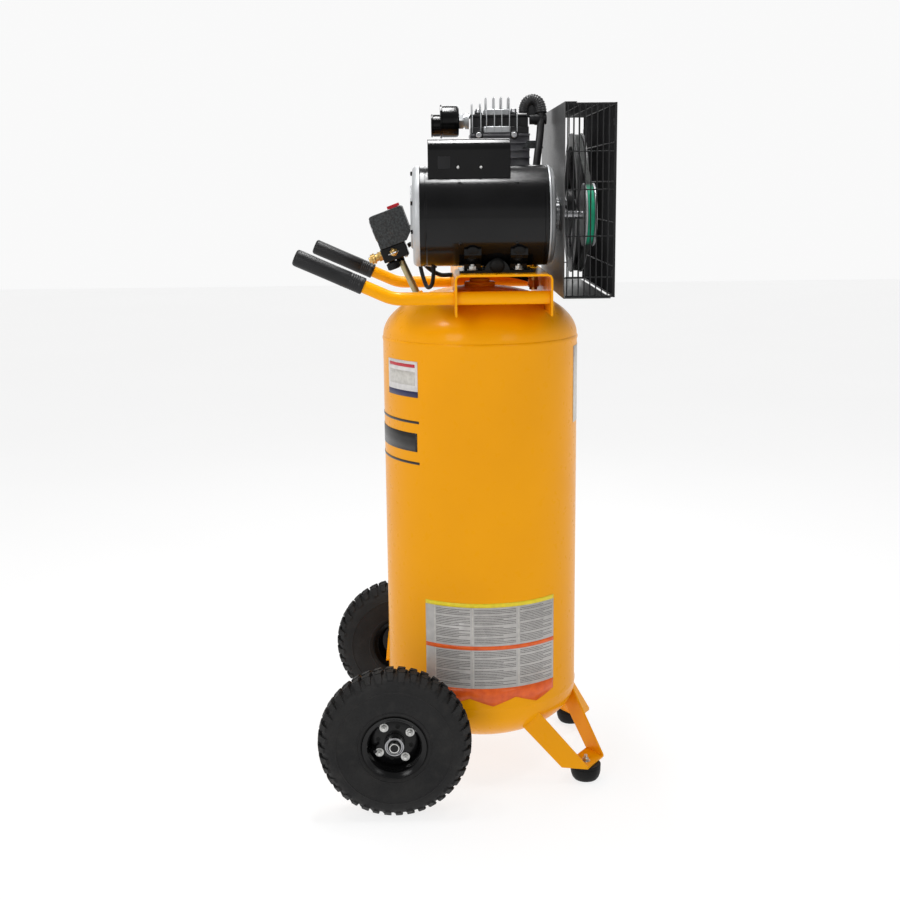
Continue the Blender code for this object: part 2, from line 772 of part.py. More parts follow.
def make_crankshaft():
    """Two throws on opposite sides, turning about Y; made about its own axis."""
    throw_y = (-BORE_PITCH / 2, BORE_PITCH / 2)
    nose = BELT_Y + 0.018 - PUMP_Y
    front = -PUMP_HALF_Y + 0.008
    web_in, web_out, web_r, journal = 0.006, 0.013, 0.029, 0.0120
    turn = aim((0, 1, 0))
    shape = bmesh.new()
    sections = (
        (front, throw_y[0] - web_out, throw_y[0] - web_in),
        (throw_y[1] + web_in, throw_y[1] + web_out, nose),
    )
    a, b, c = sections[0]
    first = [(0.0, a), (journal, a), (journal, b), (web_r, b), (web_r, c), (0.0, c)]
    spin_profile(shape, first, 20, turn)
    left, right = throw_y
    centre = [
        (0.0, left + web_in),
        (web_r, left + web_in),
        (web_r, left + web_out),
        (journal, left + web_out),
        (journal, right - web_out),
        (web_r, right - web_out),
        (web_r, right - web_in),
        (0.0, right - web_in),
    ]
    spin_profile(shape, centre, 20, turn)
    a, b, c = sections[1]
    last = [(0.0, a), (web_r, a), (web_r, b), (journal, b), (journal, c), (0.0, c)]
    spin_profile(shape, last, 20, turn)
    shaft = finished("crankshaft", shape, STEEL, smooth=True)
    pins = bmesh.new()
    for y, rise in ((left, CRANK_THROW), (right, -CRANK_THROW)):
        extrude_outline(pins, circle(0.0, rise, 0.008, 12), y - 0.009, y + 0.009, AXES["Y"])
    crank_pins = finished("crank_pins", pins, None)
    place = (PUMP_X, PUMP_Y, PUMP_Z)
    shaft.location = place
    crank_pins.location = place
    weld(shaft, crank_pins)


def make_flywheel():
    rim_out = WHEEL_BELT_R + FLANGE_RISE
    groove = WHEEL_BELT_R - 0.0005
    half = BELT_WIDTH / 2 + 0.0005
    face = 0.0125
    profile = [
        (0.0120 + GAP, -0.020),
        (0.028, -0.020),
        (0.028, -0.004),
        (0.120, -0.004),
        (0.120, -face),
        (rim_out, -face),
        (rim_out, -half),
        (groove, -half),
        (groove, half),
        (rim_out, half),
        (rim_out, face),
        (0.120, face),
        (0.120, 0.004),
        (0.028, 0.004),
        (0.028, 0.010),
        (0.0120 + GAP, 0.010),
    ]
    place = (PUMP_X, BELT_Y, PUMP_Z)
    wheel = turned("flywheel", profile, BLACK_PAINT, place, (0, 1, 0), 32)
    windows = bmesh.new()
    count = 6
    for k in range(count):
        start = 2 * pi * k / count + radians(9)
        outline = []
        for radius, way in ((0.110, 1), (0.040, -1)):
            for n in range(4):
                angle = start + radians(42) * (n if way > 0 else 3 - n) / 3
                outline.append((radius * cos(angle), radius * sin(angle)))
        extrude_outline(windows, outline, -0.02, 0.02, AXES["Y"])
    tool = finished("flywheel_windows", windows, None)
    tool.location = place
    cut(wheel, tool)


def make_belt():
    """A flat-sided loop round both pulleys, along the two outer tangents."""
    small = Vector((MOTOR_X, MOTOR_Z))
    large = Vector((PUMP_X, PUMP_Z))
    gap = small - large
    swing = acos((WHEEL_BELT_R - PULLEY_BELT_R) / gap.length)
    base = gap.angle_signed(Vector((1, 0)))
    rings = []
    for extra in (0.0, BELT_THICK):
        ring = []
        for centre, radius, start, end, steps in (
            (large, WHEEL_BELT_R, base + swing, base + 2 * pi - swing, 36),
            (small, PULLEY_BELT_R, base - swing, base + swing, 16),
        ):
            for k in range(steps + 1):
                angle = start + (end - start) * k / steps
                reach = radius + extra
                ring.append((centre.x + reach * cos(angle), centre.y + reach * sin(angle)))
        rings.append(ring)
    shape = bmesh.new()
    faces = {}
    for level, y in enumerate((BELT_Y - BELT_WIDTH / 2, BELT_Y + BELT_WIDTH / 2)):
        for n, ring in enumerate(rings):
            faces[n, level] = [shape.verts.new((x, y, z)) for x, z in ring]
    around = ((0, 0), (1, 0), (1, 1), (0, 1))
    for step, key in enumerate(around):
        one, two = faces[key], faces[around[(step + 1) % 4]]
        for k in range(len(one)):
            j = (k + 1) % len(one)
            shape.faces.new((one[k], one[j], two[j], two[k]))
    finished("drive_belt", shape, GREEN)


def make_air_path():
    along = (0, 1, 0)
    front = PUMP_Y - PUMP_HALF_Y
    filter_profile = [
        (0.0, -0.0805),
        (0.0245, -0.0805),
        (0.0245, -0.0595),
        (0.0350, -0.0595),
        (0.0350, -0.0560),
        (0.0335, -0.0560),
        (0.0335, -0.0240),
        (0.0290, -0.0220),
        (0.0190, -0.0220),
        (0.0190, -GAP),
        (0.0, -GAP),
    ]
    turned("air_filter", filter_profile, BLACK_PAINT, (PUMP_X - 0.010, front, 1.3720), along, 24)
    rear = PUMP_Y + PUMP_HALF_Y
    stops = [
        (DISCHARGE_X, rear - 0.0105, 1.3847),
        (DISCHARGE_X, rear - 0.0095, 1.3980),
        (DISCHARGE_X + 0.002, rear - 0.0040, 1.4115),
        (DISCHARGE_X + 0.004, rear + 0.0070, 1.4166),
        (DISCHARGE_X + 0.007, rear + 0.0175, 1.4105),
        (DISCHARGE_X + 0.010, rear + 0.0220, 1.3950),
        (DISCHARGE_X + 0.014, rear + 0.0225, 1.3750),
        (DISCHARGE_X + 0.026, rear + 0.0195, 1.3400),
        (-0.008, rear + 0.0120, 1.2900),
        (-0.001, VALVE_Y + 0.002, 1.2400),
        (0.0, VALVE_Y, 1.1900),
        (0.0, VALVE_Y, 1.120),
        (0.0, VALVE_Y, 1.0525),
    ]
    tube("discharge_tube", smooth_route(stops, 0.018), 0.0080, BLACK_PAINT, 2)
    valve = [
        (0.0, 1.0255),
        (0.0085, 1.0255),
        (0.0085, 1.0310),
        (0.0125, 1.0320),
        (0.0125, 1.0450),
        (0.0100, 1.0460),
        (0.0100, 1.0520),
        (0.0, 1.0520),
    ]
    turned("check_valve", valve, BRASS, (0, VALVE_Y, 0), steps=24)
    stops = [
        (-0.0136, VALVE_Y, 1.0395),
        (-0.0270, VALVE_Y - 0.002, 1.0420),
        (HOSE_X, VALVE_Y - 0.045, 1.0520),
        (HOSE_X, 0.010, HOSE_Z),
        (HOSE_X, -0.056, HOSE_Z),
        (HOSE_X, -0.084, 1.0560),
        (-0.034, -0.112, 1.0760),
        (-0.022, -0.1310, 1.1080),
        (-0.020, -0.1400, 1.1206),
        (-0.020, -0.1484, 1.1175),
    ]
    tube("unloader_hose", smooth_route(stops, 0.014), 0.0048, RUBBER, 2)


# ---------------------------------------------------------------- belt guard


def make_guard_panel():
    back = GUARD_FRONT + SHEET
    outline = [
        (GUARD_FRONT, GUARD_LOW),
        (0.2400, GUARD_LOW),
        (0.2400, GUARD_LOW + SHEET),
        (back, GUARD_LOW + SHEET),
        (back, GUARD_TOP - SHEET),
        (GUARD_FRONT + 0.023, GUARD_TOP - SHEET),
        (GUARD_FRONT + 0.023, GUARD_TOP),
        (GUARD_FRONT, GUARD_TOP),
    ]
    panel = prism("guard_back_panel", outline, -GUARD_HALF, GUARD_HALF, "X", BLACK_PAINT)
    low, high = GUARD_FRONT - 0.01, GUARD_FRONT + 0.01
    cut(panel, cylinders("motor_opening", [(MOTOR_X, MOTOR_Z)], 0.031, low, high, "Y", 32))
    cut(panel, cylinders("crank_opening", [(PUMP_X, PUMP_Z)], 0.016, low, high, "Y", 24))


def make_grille(name, a_range, b_range, a_bars, b_bars, depth, along):
    """A flat grid of square wires with a border, as one closed body."""
    a_edges = bar_edges(a_range, a_bars)
    b_edges = bar_edges(b_range, b_bars)
    to_world = AXES[along]
    shape = bmesh.new()
    made = {}

    def corner(i, j, level):
        key = (i, j, level)
        if key not in made:
            made[key] = shape.verts.new(to_world(a_edges[i], b_edges[j], depth[level]))
        return made[key]

    def is_wire(i, j):
        inside = 0 <= i < len(a_edges) - 1 and 0 <= j < len(b_edges) - 1
        return inside and (i % 2 == 0 or j % 2 == 0)

    for i in range(len(a_edges) - 1):
        for j in range(len(b_edges) - 1):
            if not is_wire(i, j):
                continue
            ring = ((i, j), (i + 1, j), (i + 1, j + 1), (i, j + 1))
            for level in (0, 1):
                shape.faces.new([corner(a, b, level) for a, b in ring])
            beside = ((i, j - 1), (i + 1, j), (i, j + 1), (i - 1, j))
            for k, cell in enumerate(beside):
                if not is_wire(*cell):
                    one, two = ring[k], ring[(k + 1) % 4]
                    shape.faces.new((corner(*one, 0), corner(*two, 0), corner(*two, 1), corner(*one, 1)))
    finished(name, shape, BLACK_PAINT)


def bar_edges(span, bars):
    """Both edges of each of the evenly spaced wires across a span."""
    low, high = span
    edges = []
    for k in range(bars):
        start = low + (high - low - WIRE) * k / (bars - 1)
        edges += [start, start + WIRE]
    return edges


def make_guard_grilles():
    side_y = (GUARD_FRONT + SHEET + 0.0005, GUARD_REAR)
    side_z = (GUARD_LOW + SHEET + 0.0005, GUARD_TOP - SHEET - 0.0005)
    rear_x = (-GUARD_HALF + WIRE + 0.0005, GUARD_HALF - WIRE - 0.0005)
    make_grille("guard_grille_right", side_y, side_z, 5, 6, (GUARD_HALF - WIRE, GUARD_HALF), "X")
    make_grille("guard_grille_left", side_y, side_z, 5, 6, (-GUARD_HALF, -GUARD_HALF + WIRE), "X")
    make_grille("guard_grille_rear", rear_x, side_z, 9, 6, (GUARD_REAR - WIRE, GUARD_REAR), "Y")
    top_y = (side_y[0], GUARD_REAR - WIRE - 0.0005)
    make_grille("guard_grille_top", rear_x, top_y, 9, 3, (side_z[1] - WIRE, side_z[1]), "Z")


# ---------------------------------------------------------------- controls


def make_controls():
    frame = bpy.data.objects.new("control_frame", None)
    bpy.context.scene.collection.objects.link(frame)
    frame.location = (0, CONTROL_Y, CONTROL_Z)
    frame.rotation_euler = (CONTROL_TILT, 0, 0)

    outline = [
        (-0.031, -0.036),
        (0.026, -0.036),
        (0.040, -0.022),
        (0.040, 0.030),
        (0.037, 0.033),
        (-0.028, 0.033),
        (-0.031, 0.030),
    ]
    housing = prism("switch_housing", outline, -0.055, 0.055, "X", DARK_PLASTIC)
    spots = [(-0.027, 0.004), (0.027, 0.004)]
    pockets = cylinders("gauge_pockets", spots, GAUGE_R + GAP, -0.05, -0.012, "Y", 32)
    slot = block("lever_slot", (-0.0095, 0.0095, 0.022), (0.0095, 0.0365, 0.045), None)
    cut(housing, pockets)
    cut(housing, slot)
    lever = block("switch_lever", (-0.009, 0.010, 0.0225), (0.009, 0.036, 0.0400), RED)
    parts = [housing, pockets, slot, lever]

    for name, (u, w) in zip(("tank", "outlet"), spots):
        rim = [
            (0.0, 0.0190 - GAP),
            (GAUGE_R, 0.0190 - GAP),
            (GAUGE_R, -0.0025),
            (GAUGE_R - 0.002, -0.0025),
            (GAUGE_R - 0.002, 0.0010),
            (0.0, 0.0010),
        ]
        gauge = turned(f"gauge_{name}", rim, STEEL, (u, -0.031, w), (0, 1, 0), 32)
        half = [(0.0008, -0.005), (0.0010, 0.0), (0.0003, 0.0170)]
        pointer = half + [(-a, b) for a, b in reversed(half)]
        turn = Matrix.Rotation(radians(-135), 4, "Y")
        shape = bmesh.new()
        extrude_outline(shape, pointer, -0.0009, -0.0003, AXES["Y"])
        bmesh.ops.transform(shape, matrix=turn, verts=shape.verts)
        needle = finished(f"gauge_needle_{name}", shape, RED)
        needle.location = (u, -0.0303, w)
        parts += [gauge, needle]

    manifold = block("manifold", (-0.030, -0.034, -0.066), (0.030, 0.020, -0.036 - GAP), BLACK_PAINT)
    knob = [
        (0.0, 0.0),
        (0.0125, 0.0),
        (0.0135, 0.002),
        (0.0135, 0.014),
        (0.0060, 0.0165),
        (0.0060, 0.0175 - GAP),
        (0.0, 0.0175 - GAP),
    ]
    regulator = turned("regulator_knob", knob, DARK_PLASTIC, (0.016, -0.019, -0.0835), steps=28)
    nose = [
        (0.0, 0.0),
        (0.0060, 0.0),
        (0.0060, 0.0035),
        (0.0080, 0.0045),
        (0.0080, 0.0210),
        (0.0110, 0.0215),
        (0.0110, 0.0300 - GAP),
        (0.0, 0.0300 - GAP),
    ]
    coupler = turned("coupler_body", nose, BRASS, (-0.012, -0.064, -0.050), (0, 1, 0), 24)
    ring = [(0.0083, 0.0050), (0.0105, 0.0050), (0.0112, 0.0080), (0.0105, 0.0140), (0.0083, 0.0140)]
    sleeve = turned("coupler_sleeve", ring, BRASS, (-0.012, -0.064, -0.050), (0, 1, 0), 24)
    relief = [
        (0.0, GAP),
        (0.0085, GAP),
        (0.0085, 0.0060),
        (0.0070, 0.0070),
        (0.0070, 0.0230),
        (0.0045, 0.0250),
        (0.0022, 0.0250),
        (0.0022, 0.0160),
        (0.0, 0.0160),
    ]
    valve = turned("safety_valve", relief, BRASS, (0.030, -0.008, -0.050), (1, 0, 0), 16)
    loop = [(0.0100 + 0.0012 * cos(pi * k / 4), 0.0012 * sin(pi * k / 4)) for k in range(8)]
    pull = turned("safety_ring", loop, STEEL, (0.0690, -0.008, -0.050), (0, 0, 1), 16)
    stem = [(0.0, 0.0), (0.0018, 0.0), (0.0018, 0.0120), (0.0, 0.0120)]
    pull_stem = turned("safety_stem", stem, None, (0.0472, -0.008, -0.050), (1, 0, 0), 12)
    weld(pull, pull_stem)
    parts += [manifold, regulator, coupler, sleeve, valve, pull, pull_stem]
    parent_to(frame, *parts)


def make_nipple():
    """The pipe that carries the manifold, square to the tank's head."""
    top = Vector((0, -0.1648, 1.0940))
    foot_y = -0.1280
    foot = Vector((0, foot_y, SEAM_HIGH + head_height(-foot_y)))
    along = (top - foot).normalized()
    length = (top - foot).length
    profile = [
        (0.0, 0.0012),
        (0.0130, 0.0012),
        (0.0130, 0.0090),
        (0.0073, 0.0090),
        (0.0073, length - 0.0038),
        (0.0, length - 0.0038),
    ]
    turned("pipe_nipple", profile, BRASS, foot, along, 24)


def make_cord():
    stops = [
        (0.020, -0.1423, 1.1569),
        (0.020, -0.1370, 1.1588),
        (0.021, -0.1300, 1.1480),
        (0.025, -0.1280, 1.1180),
        (0.043, -0.1210, 1.0720),
        (0.072, -0.1100, 1.0400),
        (0.096, -0.1000, 1.0440),
        (0.105, -0.0960, 1.0660),
        (0.105, -0.0955, 1.0858),
    ]
    tube("motor_cord", smooth_route(stops, 0.012), 0.0042, RUBBER, 2)


def centre_everything():
    for thing in bpy.data.objects:
        if thing.parent is None:
            thing.location.y += CENTRE_SHIFT


def main():
    clear_scene()
    trim = tank_cutter()
    make_tank()
    make_drain()
    make_platform(trim)
    for side, way in (("right", 1), ("left", -1)):
        make_handle(side, way * HANDLE_X)
        make_wheel(side, way, trim)
        make_foot(side, way, trim)
    make_motor()
    make_motor_base()
    make_capacitor()
    make_crankcase()
    make_cylinders()
    make_head()
    make_pistons()
    make_crankshaft()
    make_flywheel()
    make_belt()
    make_air_path()
    make_guard_panel()
    make_guard_grilles()
    make_controls()
    make_nipple()
    make_cord()
    centre_everything()


main()
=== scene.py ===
"""The looks of an upright, belt-driven air compressor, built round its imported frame.

Metres, +Z up, front facing -Y. Every place comes from the frame's own boxes and joints: most are
offsets from the tank's axis, and the controls are placed in their own tilted frame.
"""

import json
from math import acos, cos, pi, radians, sin, sqrt

import bmesh
import bpy
from mathutils import Matrix, Vector


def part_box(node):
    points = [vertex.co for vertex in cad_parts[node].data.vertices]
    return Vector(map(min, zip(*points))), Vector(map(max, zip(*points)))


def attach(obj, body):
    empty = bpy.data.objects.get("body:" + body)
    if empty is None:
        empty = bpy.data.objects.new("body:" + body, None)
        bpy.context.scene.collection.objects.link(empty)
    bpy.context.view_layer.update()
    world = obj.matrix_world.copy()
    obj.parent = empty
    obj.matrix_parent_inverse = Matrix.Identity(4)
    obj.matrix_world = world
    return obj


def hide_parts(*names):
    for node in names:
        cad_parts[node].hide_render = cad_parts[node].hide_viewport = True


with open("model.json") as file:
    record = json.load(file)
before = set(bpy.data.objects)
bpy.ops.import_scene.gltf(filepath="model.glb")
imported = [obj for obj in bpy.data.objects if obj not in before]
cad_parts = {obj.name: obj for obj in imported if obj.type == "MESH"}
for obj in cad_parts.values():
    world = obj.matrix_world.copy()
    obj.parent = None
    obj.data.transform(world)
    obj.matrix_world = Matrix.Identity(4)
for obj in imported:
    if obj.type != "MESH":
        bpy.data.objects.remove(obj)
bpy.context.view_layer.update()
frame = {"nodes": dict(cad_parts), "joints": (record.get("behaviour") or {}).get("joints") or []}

# ---------------------------------------------------------------- places read from the frame

ROOT = "frame"
UP = (0, 0, 1)
BACK = (0, 1, 0)
FRONT = (0, -1, 0)
RIGHT = (1, 0, 0)
FLAT = Matrix.Identity(4)


def middle(node):
    """The middle of a node's box."""
    low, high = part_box(node)
    return (low + high) / 2


def joint(name):
    for entry in frame["joints"]:
        if entry["name"] == name:
            return entry
    raise KeyError(name)


tank_low, tank_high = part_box("tank")
TANK = middle("tank")
TANK_R = (tank_high.x - tank_low.x) / 2
SEAM_LOW = tank_low.z + TANK_R / 2
SEAM_HIGH = tank_high.z - 0.115
MOTOR = middle("motor_shell")
MOTOR_R = (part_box("motor_shell")[1].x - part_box("motor_shell")[0].x) / 2
PUMP = Vector(joint("flywheel_spin")["pos_m"])
guard_low, guard_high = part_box("guard_back_panel")
grille_low, grille_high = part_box("guard_grille_right")
CAGE_LOW = Vector((guard_low.x, grille_low.y, grille_low.z))
CAGE_HIGH = Vector((guard_high.x, grille_high.y, grille_high.z))
PLATFORM_LOW, PLATFORM_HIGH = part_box("platform")
CONTROL_TURN = Matrix.Rotation(radians(20), 4, "X")
CONTROL = Vector(joint("needle_tank_turn")["pos_m"]) - CONTROL_TURN @ Vector((-0.027, -0.0303, 0.004))

# For outlines drawn in X and Z and raised along Y, and for those drawn in Y and Z and raised along X.
ACROSS = Matrix(((1, 0, 0, 0), (0, 0, 1, 0), (0, 1, 0, 0), (0, 0, 0, 1)))
ALONG = Matrix(((0, 0, 1, 0), (1, 0, 0, 0), (0, 1, 0, 0), (0, 0, 0, 1)))


def at(x, y, z):
    """A point given from the tank's axis."""
    return Vector((x, y + TANK.y, z))


def spoke(radius, angle, height=0):
    """A point at a distance from Z, at an angle in radians from X."""
    return Vector((radius * cos(angle), radius * sin(angle), height))


def aim(centre, direction):
    """The matrix that takes +Z to a direction and the origin to a centre."""
    turn = Vector(UP).rotation_difference(Vector(direction)).to_matrix().to_4x4()
    return Matrix.Translation(Vector(centre)) @ turn


def control(x, y, z):
    """The matrix of a point in the controls' own tilted frame."""
    return Matrix.Translation(CONTROL) @ CONTROL_TURN @ Matrix.Translation(Vector((x, y, z)))


# ---------------------------------------------------------------- camera

camera_data = bpy.data.cameras.new("camera")
camera = bpy.data.objects.new("camera", camera_data)
bpy.context.scene.collection.objects.link(camera)
camera_data.lens = 52.32
camera_data.sensor_width = 36
pitch, yaw, roll = radians(11.461), radians(0.828), radians(-0.616)
ahead = Vector((-cos(pitch) * cos(yaw), cos(pitch) * sin(yaw), -sin(pitch)))
level = Vector((sin(yaw), cos(yaw), 0))
above = level.cross(ahead)
right = cos(roll) * level + sin(roll) * above
up = -sin(roll) * level + cos(roll) * above
turn = Matrix((right, up, -ahead)).transposed().to_4x4()
camera.matrix_world = Matrix.Translation(at(2.7393, -0.1049, 1.2411)) @ turn
bpy.context.scene.camera = camera

# ---------------------------------------------------------------- materials


class Nodes:
    """A short way to lay out one material's nodes."""

    def __init__(self, name):
        self.material = bpy.data.materials.new(name)
        self.material.use_nodes = True
        self.tree = self.material.node_tree
        self.shader = self.tree.nodes["Principled BSDF"]
        self.where = self.tree.nodes.new("ShaderNodeTexCoord").outputs["Object"]

    def fill(self, node, inputs):
        """Sets a node's inputs by name, each to a value or to another node's output."""
        for name, value in inputs.items():
            if isinstance(value, bpy.types.NodeSocket):
                self.tree.links.new(value, node.inputs[name])
            else:
                node.inputs[name].default_value = value

    def add(self, kind, inputs):
        node = self.tree.nodes.new(f"ShaderNode{kind}")
        self.fill(node, inputs)
        return node

    def surface(self, inputs):
        """Sets the shader's inputs and gives back the material."""
        self.fill(self.shader, inputs)
        return self.material

    def noise(self, scale, detail=4, stretch=(1, 1, 1)):
        mapping = self.add("Mapping", {"Scale": stretch, "Vector": self.where})
        place = mapping.outputs["Vector"]
        return self.add("TexNoise", {"Scale": scale, "Detail": detail, "Vector": place}).outputs["Fac"]

    def spread(self, source, low, high, to_low=0, to_high=1):
        limits = {"From Min": low, "From Max": high, "To Min": to_low, "To Max": to_high}
        return self.add("MapRange", {**limits, "Value": source}).outputs["Result"]

    def mix(self, share, one, two):
        """A blend of two colours, each an output or a red, a green and a blue."""
        node = self.tree.nodes.new("ShaderNodeMix")
        node.data_type = "RGBA"
        self.tree.links.new(share, node.inputs["Factor"])
        for name, value in (("A", one), ("B", two)):
            socket = [s for s in node.inputs if s.name == name and s.type == "RGBA"][0]
            if isinstance(value, tuple):
                socket.default_value = (*value, 1)
            else:
                self.tree.links.new(value, socket)
        return [s for s in node.outputs if s.type == "RGBA"][0]

    def bump(self, source, strength, distance, after=None):
        inputs = {"Strength": strength, "Distance": distance, "Height": source}
        if after:
            inputs["Normal"] = after
        return self.add("Bump", inputs).outputs["Normal"]


def finish(
    name, base, other, rough=(0.3, 0.4), metallic=0, blotch=7, grain=400, grain_depth=0.00005, ripple=0,
    coat=0, coat_rough=0.08, stretch=(1, 1, 1), specular=0.3, dust=None
):
    """Blotches of a second tone, uneven gloss, a fine grain and, if asked, a slow ripple and dust."""
    nodes = Nodes(name)
    blotches = nodes.spread(nodes.noise(blotch, 5, stretch), 0.35, 0.68)
    colour = nodes.mix(blotches, base, other)
    specks = nodes.spread(nodes.noise(blotch * 23, 3, stretch), 0.3, 0.72)
    if dust:
        settled = nodes.spread(nodes.noise(blotch * 4, 6), 0.52, 0.75, 0, 0.45)
        colour = nodes.mix(settled, colour, dust)
    normal = nodes.bump(nodes.noise(grain, 3, stretch), 0.6, grain_depth)
    if ripple:
        normal = nodes.bump(nodes.noise(14, 2), 0.5, ripple, normal)
    return nodes.surface(
        {
            "Base Color": colour, "Roughness": nodes.spread(specks, 0, 1, *rough), "Normal": normal,
            "Metallic": metallic, "Specular IOR Level": specular, "Coat Weight": coat,
            "Coat Roughness": coat_rough
        }
    )


YELLOW = finish(
    "yellow_paint", (0.9, 0.372, 0.0006), (0.84, 0.338, 0.0005), rough=(0.26, 0.36), blotch=3, grain=500,
    grain_depth=0.000002, ripple=0.00004, coat=0.12, coat_rough=0.07, specular=0.08
)
BLACK = finish(
    "black_gloss_paint", (0.003, 0.003, 0.0032), (0.006, 0.006, 0.0064), rough=(0.15, 0.22), blotch=9,
    grain=500, grain_depth=0.000004, ripple=0.00004, specular=0.26
)
SATIN_BLACK = finish(
    "black_satin_paint", (0.007, 0.007, 0.0075), (0.013, 0.013, 0.014), rough=(0.34, 0.48), blotch=16,
    grain=900, grain_depth=0.00004, specular=0.24
)
GUARD_BLACK = finish(
    "guard_black_paint", (0.045, 0.045, 0.046), (0.065, 0.065, 0.066), rough=(0.3, 0.42), blotch=16,
    grain=900, grain_depth=0.00003, specular=0.4
)
CAST_BLACK = finish(
    "black_painted_casting", (0.01, 0.01, 0.011), (0.026, 0.026, 0.027), rough=(0.3, 0.5), blotch=24,
    grain=260, grain_depth=0.00025
)
TYRE = finish(
    "tyre_rubber", (0.009, 0.009, 0.0095), (0.017, 0.0165, 0.016), rough=(0.5, 0.72), blotch=12, grain=520,
    grain_depth=0.00012, specular=0.22, dust=(0.024, 0.0225, 0.021)
)
GRIP = finish(
    "grip_foam", (0.008, 0.008, 0.0085), (0.013, 0.013, 0.014), rough=(0.36, 0.52), blotch=20, grain=620,
    grain_depth=0.00015
)
RUBBER = finish(
    "black_rubber", (0.005, 0.005, 0.005), (0.01, 0.01, 0.01), rough=(0.42, 0.62), blotch=18, grain=500,
    grain_depth=0.00008, specular=0.16
)
CAST = finish(
    "cast_aluminium", (0.5, 0.51, 0.52), (0.4, 0.41, 0.42), rough=(0.36, 0.54), metallic=0.45, blotch=22,
    grain=300, grain_depth=0.0002
)
DARK_CAST = finish(
    "dark_cast_aluminium", (0.22, 0.22, 0.23), (0.1, 0.1, 0.11), rough=(0.34, 0.56), metallic=0.8, blotch=30,
    grain=280, grain_depth=0.00025
)
STEEL = finish(
    "machined_steel", (0.56, 0.56, 0.57), (0.42, 0.42, 0.44), rough=(0.2, 0.36), metallic=1, blotch=18,
    grain=700, grain_depth=0.00004, stretch=(1, 6, 1)
)
ZINC = finish(
    "zinc_plate", (0.66, 0.66, 0.64), (0.5, 0.5, 0.49), rough=(0.24, 0.44), metallic=1, blotch=60, grain=900,
    grain_depth=0.00004
)
BRASS = finish(
    "brass", (0.74, 0.5, 0.18), (0.52, 0.34, 0.12), rough=(0.24, 0.46), metallic=1, blotch=40, grain=800,
    grain_depth=0.00004
)
YELLOW_ZINC = finish(
    "yellow_zinc_pipe", (0.5, 0.44, 0.25), (0.3, 0.25, 0.15), rough=(0.28, 0.5), metallic=1, blotch=50,
    grain=700, grain_depth=0.00006
)
RED_PLASTIC = finish(
    "red_plastic", (0.62, 0.006, 0.02), (0.5, 0.004, 0.014), rough=(0.24, 0.36), blotch=30, grain=700,
    grain_depth=0.00003, coat=0.3
)
WHITE_CARD = finish("gauge_dial_card", (0.78, 0.78, 0.76), (0.7, 0.7, 0.68), rough=(0.5, 0.6), blotch=30)


def label_print(tone, base, other, blotch=90):
    return finish(f"label_{tone}", base, other, rough=(0.34, 0.46), blotch=blotch, coat=0.2)


PANEL_GREY = finish(
    "label_grey", (0.5, 0.48, 0.46), (0.42, 0.405, 0.39), rough=(0.34, 0.46), blotch=60, grain=600,
    grain_depth=0.00002, coat=0.2
)
PANEL_PALE = label_print("pale", (0.62, 0.6, 0.56), (0.5, 0.48, 0.44), 120)
PANEL_INK = label_print("ink", (0.12, 0.115, 0.11), (0.26, 0.25, 0.24), 320)
PANEL_WHITE = label_print("white", (0.74, 0.72, 0.7), (0.62, 0.6, 0.6))
PANEL_BLUE = label_print("blue", (0.02, 0.022, 0.09), (0.014, 0.016, 0.06))
PANEL_RED = label_print("red", (0.55, 0.02, 0.035), (0.46, 0.014, 0.028))
PANEL_BLACK = finish(
    "label_black", (0.01, 0.009, 0.008), (0.018, 0.016, 0.014), rough=(0.3, 0.42), blotch=60, coat=0.2
)
PANEL_LEMON = label_print("yellow", (0.82, 0.66, 0.02), (0.7, 0.56, 0.02))
PANEL_ORANGE = label_print("orange", (0.8, 0.125, 0.012), (0.66, 0.085, 0.009), 70)


def textured_plastic():
    """Dark grey moulded plastic with a coarse pebbled skin."""
    nodes = Nodes("pebbled_plastic")
    pebbles = nodes.add("TexVoronoi", {"Scale": 420, "Vector": nodes.where}).outputs["Distance"]
    tone = nodes.spread(nodes.noise(240, 5), 0.38, 0.62)
    return nodes.surface(
        {
            "Base Color": nodes.mix(tone, (0.006, 0.007, 0.007), (0.045, 0.05, 0.052)),
            "Roughness": nodes.spread(tone, 0, 1, 0.45, 0.7), "Normal": nodes.bump(pebbles, 0.7, 0.0007)
        }
    )


PEBBLED = textured_plastic()


def belt_cloth():
    """Green cloth where the belt rounds the motor's pulley, going to near black along the rest of it as
    painted shade.
    """
    nodes = Nodes("belt_cloth")
    place = nodes.add("SeparateXYZ", {"Vector": nodes.where})
    ragged = nodes.tree.nodes.new("ShaderNodeMath")
    ragged.operation = "MULTIPLY_ADD"
    ragged.inputs[1].default_value = 0.02
    nodes.tree.links.new(nodes.noise(60, 5), ragged.inputs[0])
    nodes.tree.links.new(place.outputs["X"], ragged.inputs[2])
    # Green share along X, with a ragged edge: away from the motor's pulley the belt goes to painted shade.
    share = nodes.spread(ragged.outputs[0], MOTOR.x + 0.018, MOTOR.x + 0.042)
    green = nodes.mix(nodes.spread(nodes.noise(30), 0.35, 0.68), (0.012, 0.4, 0.22), (0.008, 0.26, 0.14))
    # Near black painted shade for the belt's stretch towards the flywheel.
    belt_shade_colour = nodes.mix(nodes.spread(nodes.noise(45), 0.35, 0.68), (0.012, 0.013, 0.012), (0.024, 0.028, 0.025))
    return nodes.surface(
        {
            "Base Color": nodes.mix(share, belt_shade_colour, green),
            "Roughness": nodes.spread(nodes.noise(200), 0.3, 0.7, 0.55, 0.8),
            "Normal": nodes.bump(nodes.noise(1100, 3), 0.6, 0.00025), "Specular IOR Level": 0.3
        }
    )


BELT = belt_cloth()


def clear_glass():
    """A thin gauge window, a little smeared."""
    nodes = Nodes("gauge_window")
    smear = nodes.spread(nodes.noise(35, 4), 0.35, 0.7, 0.03, 0.14)
    return nodes.surface(
        {"Roughness": smear, "Base Color": (0.95, 0.97, 0.97, 1), "Transmission Weight": 1, "IOR": 1.45}
    )


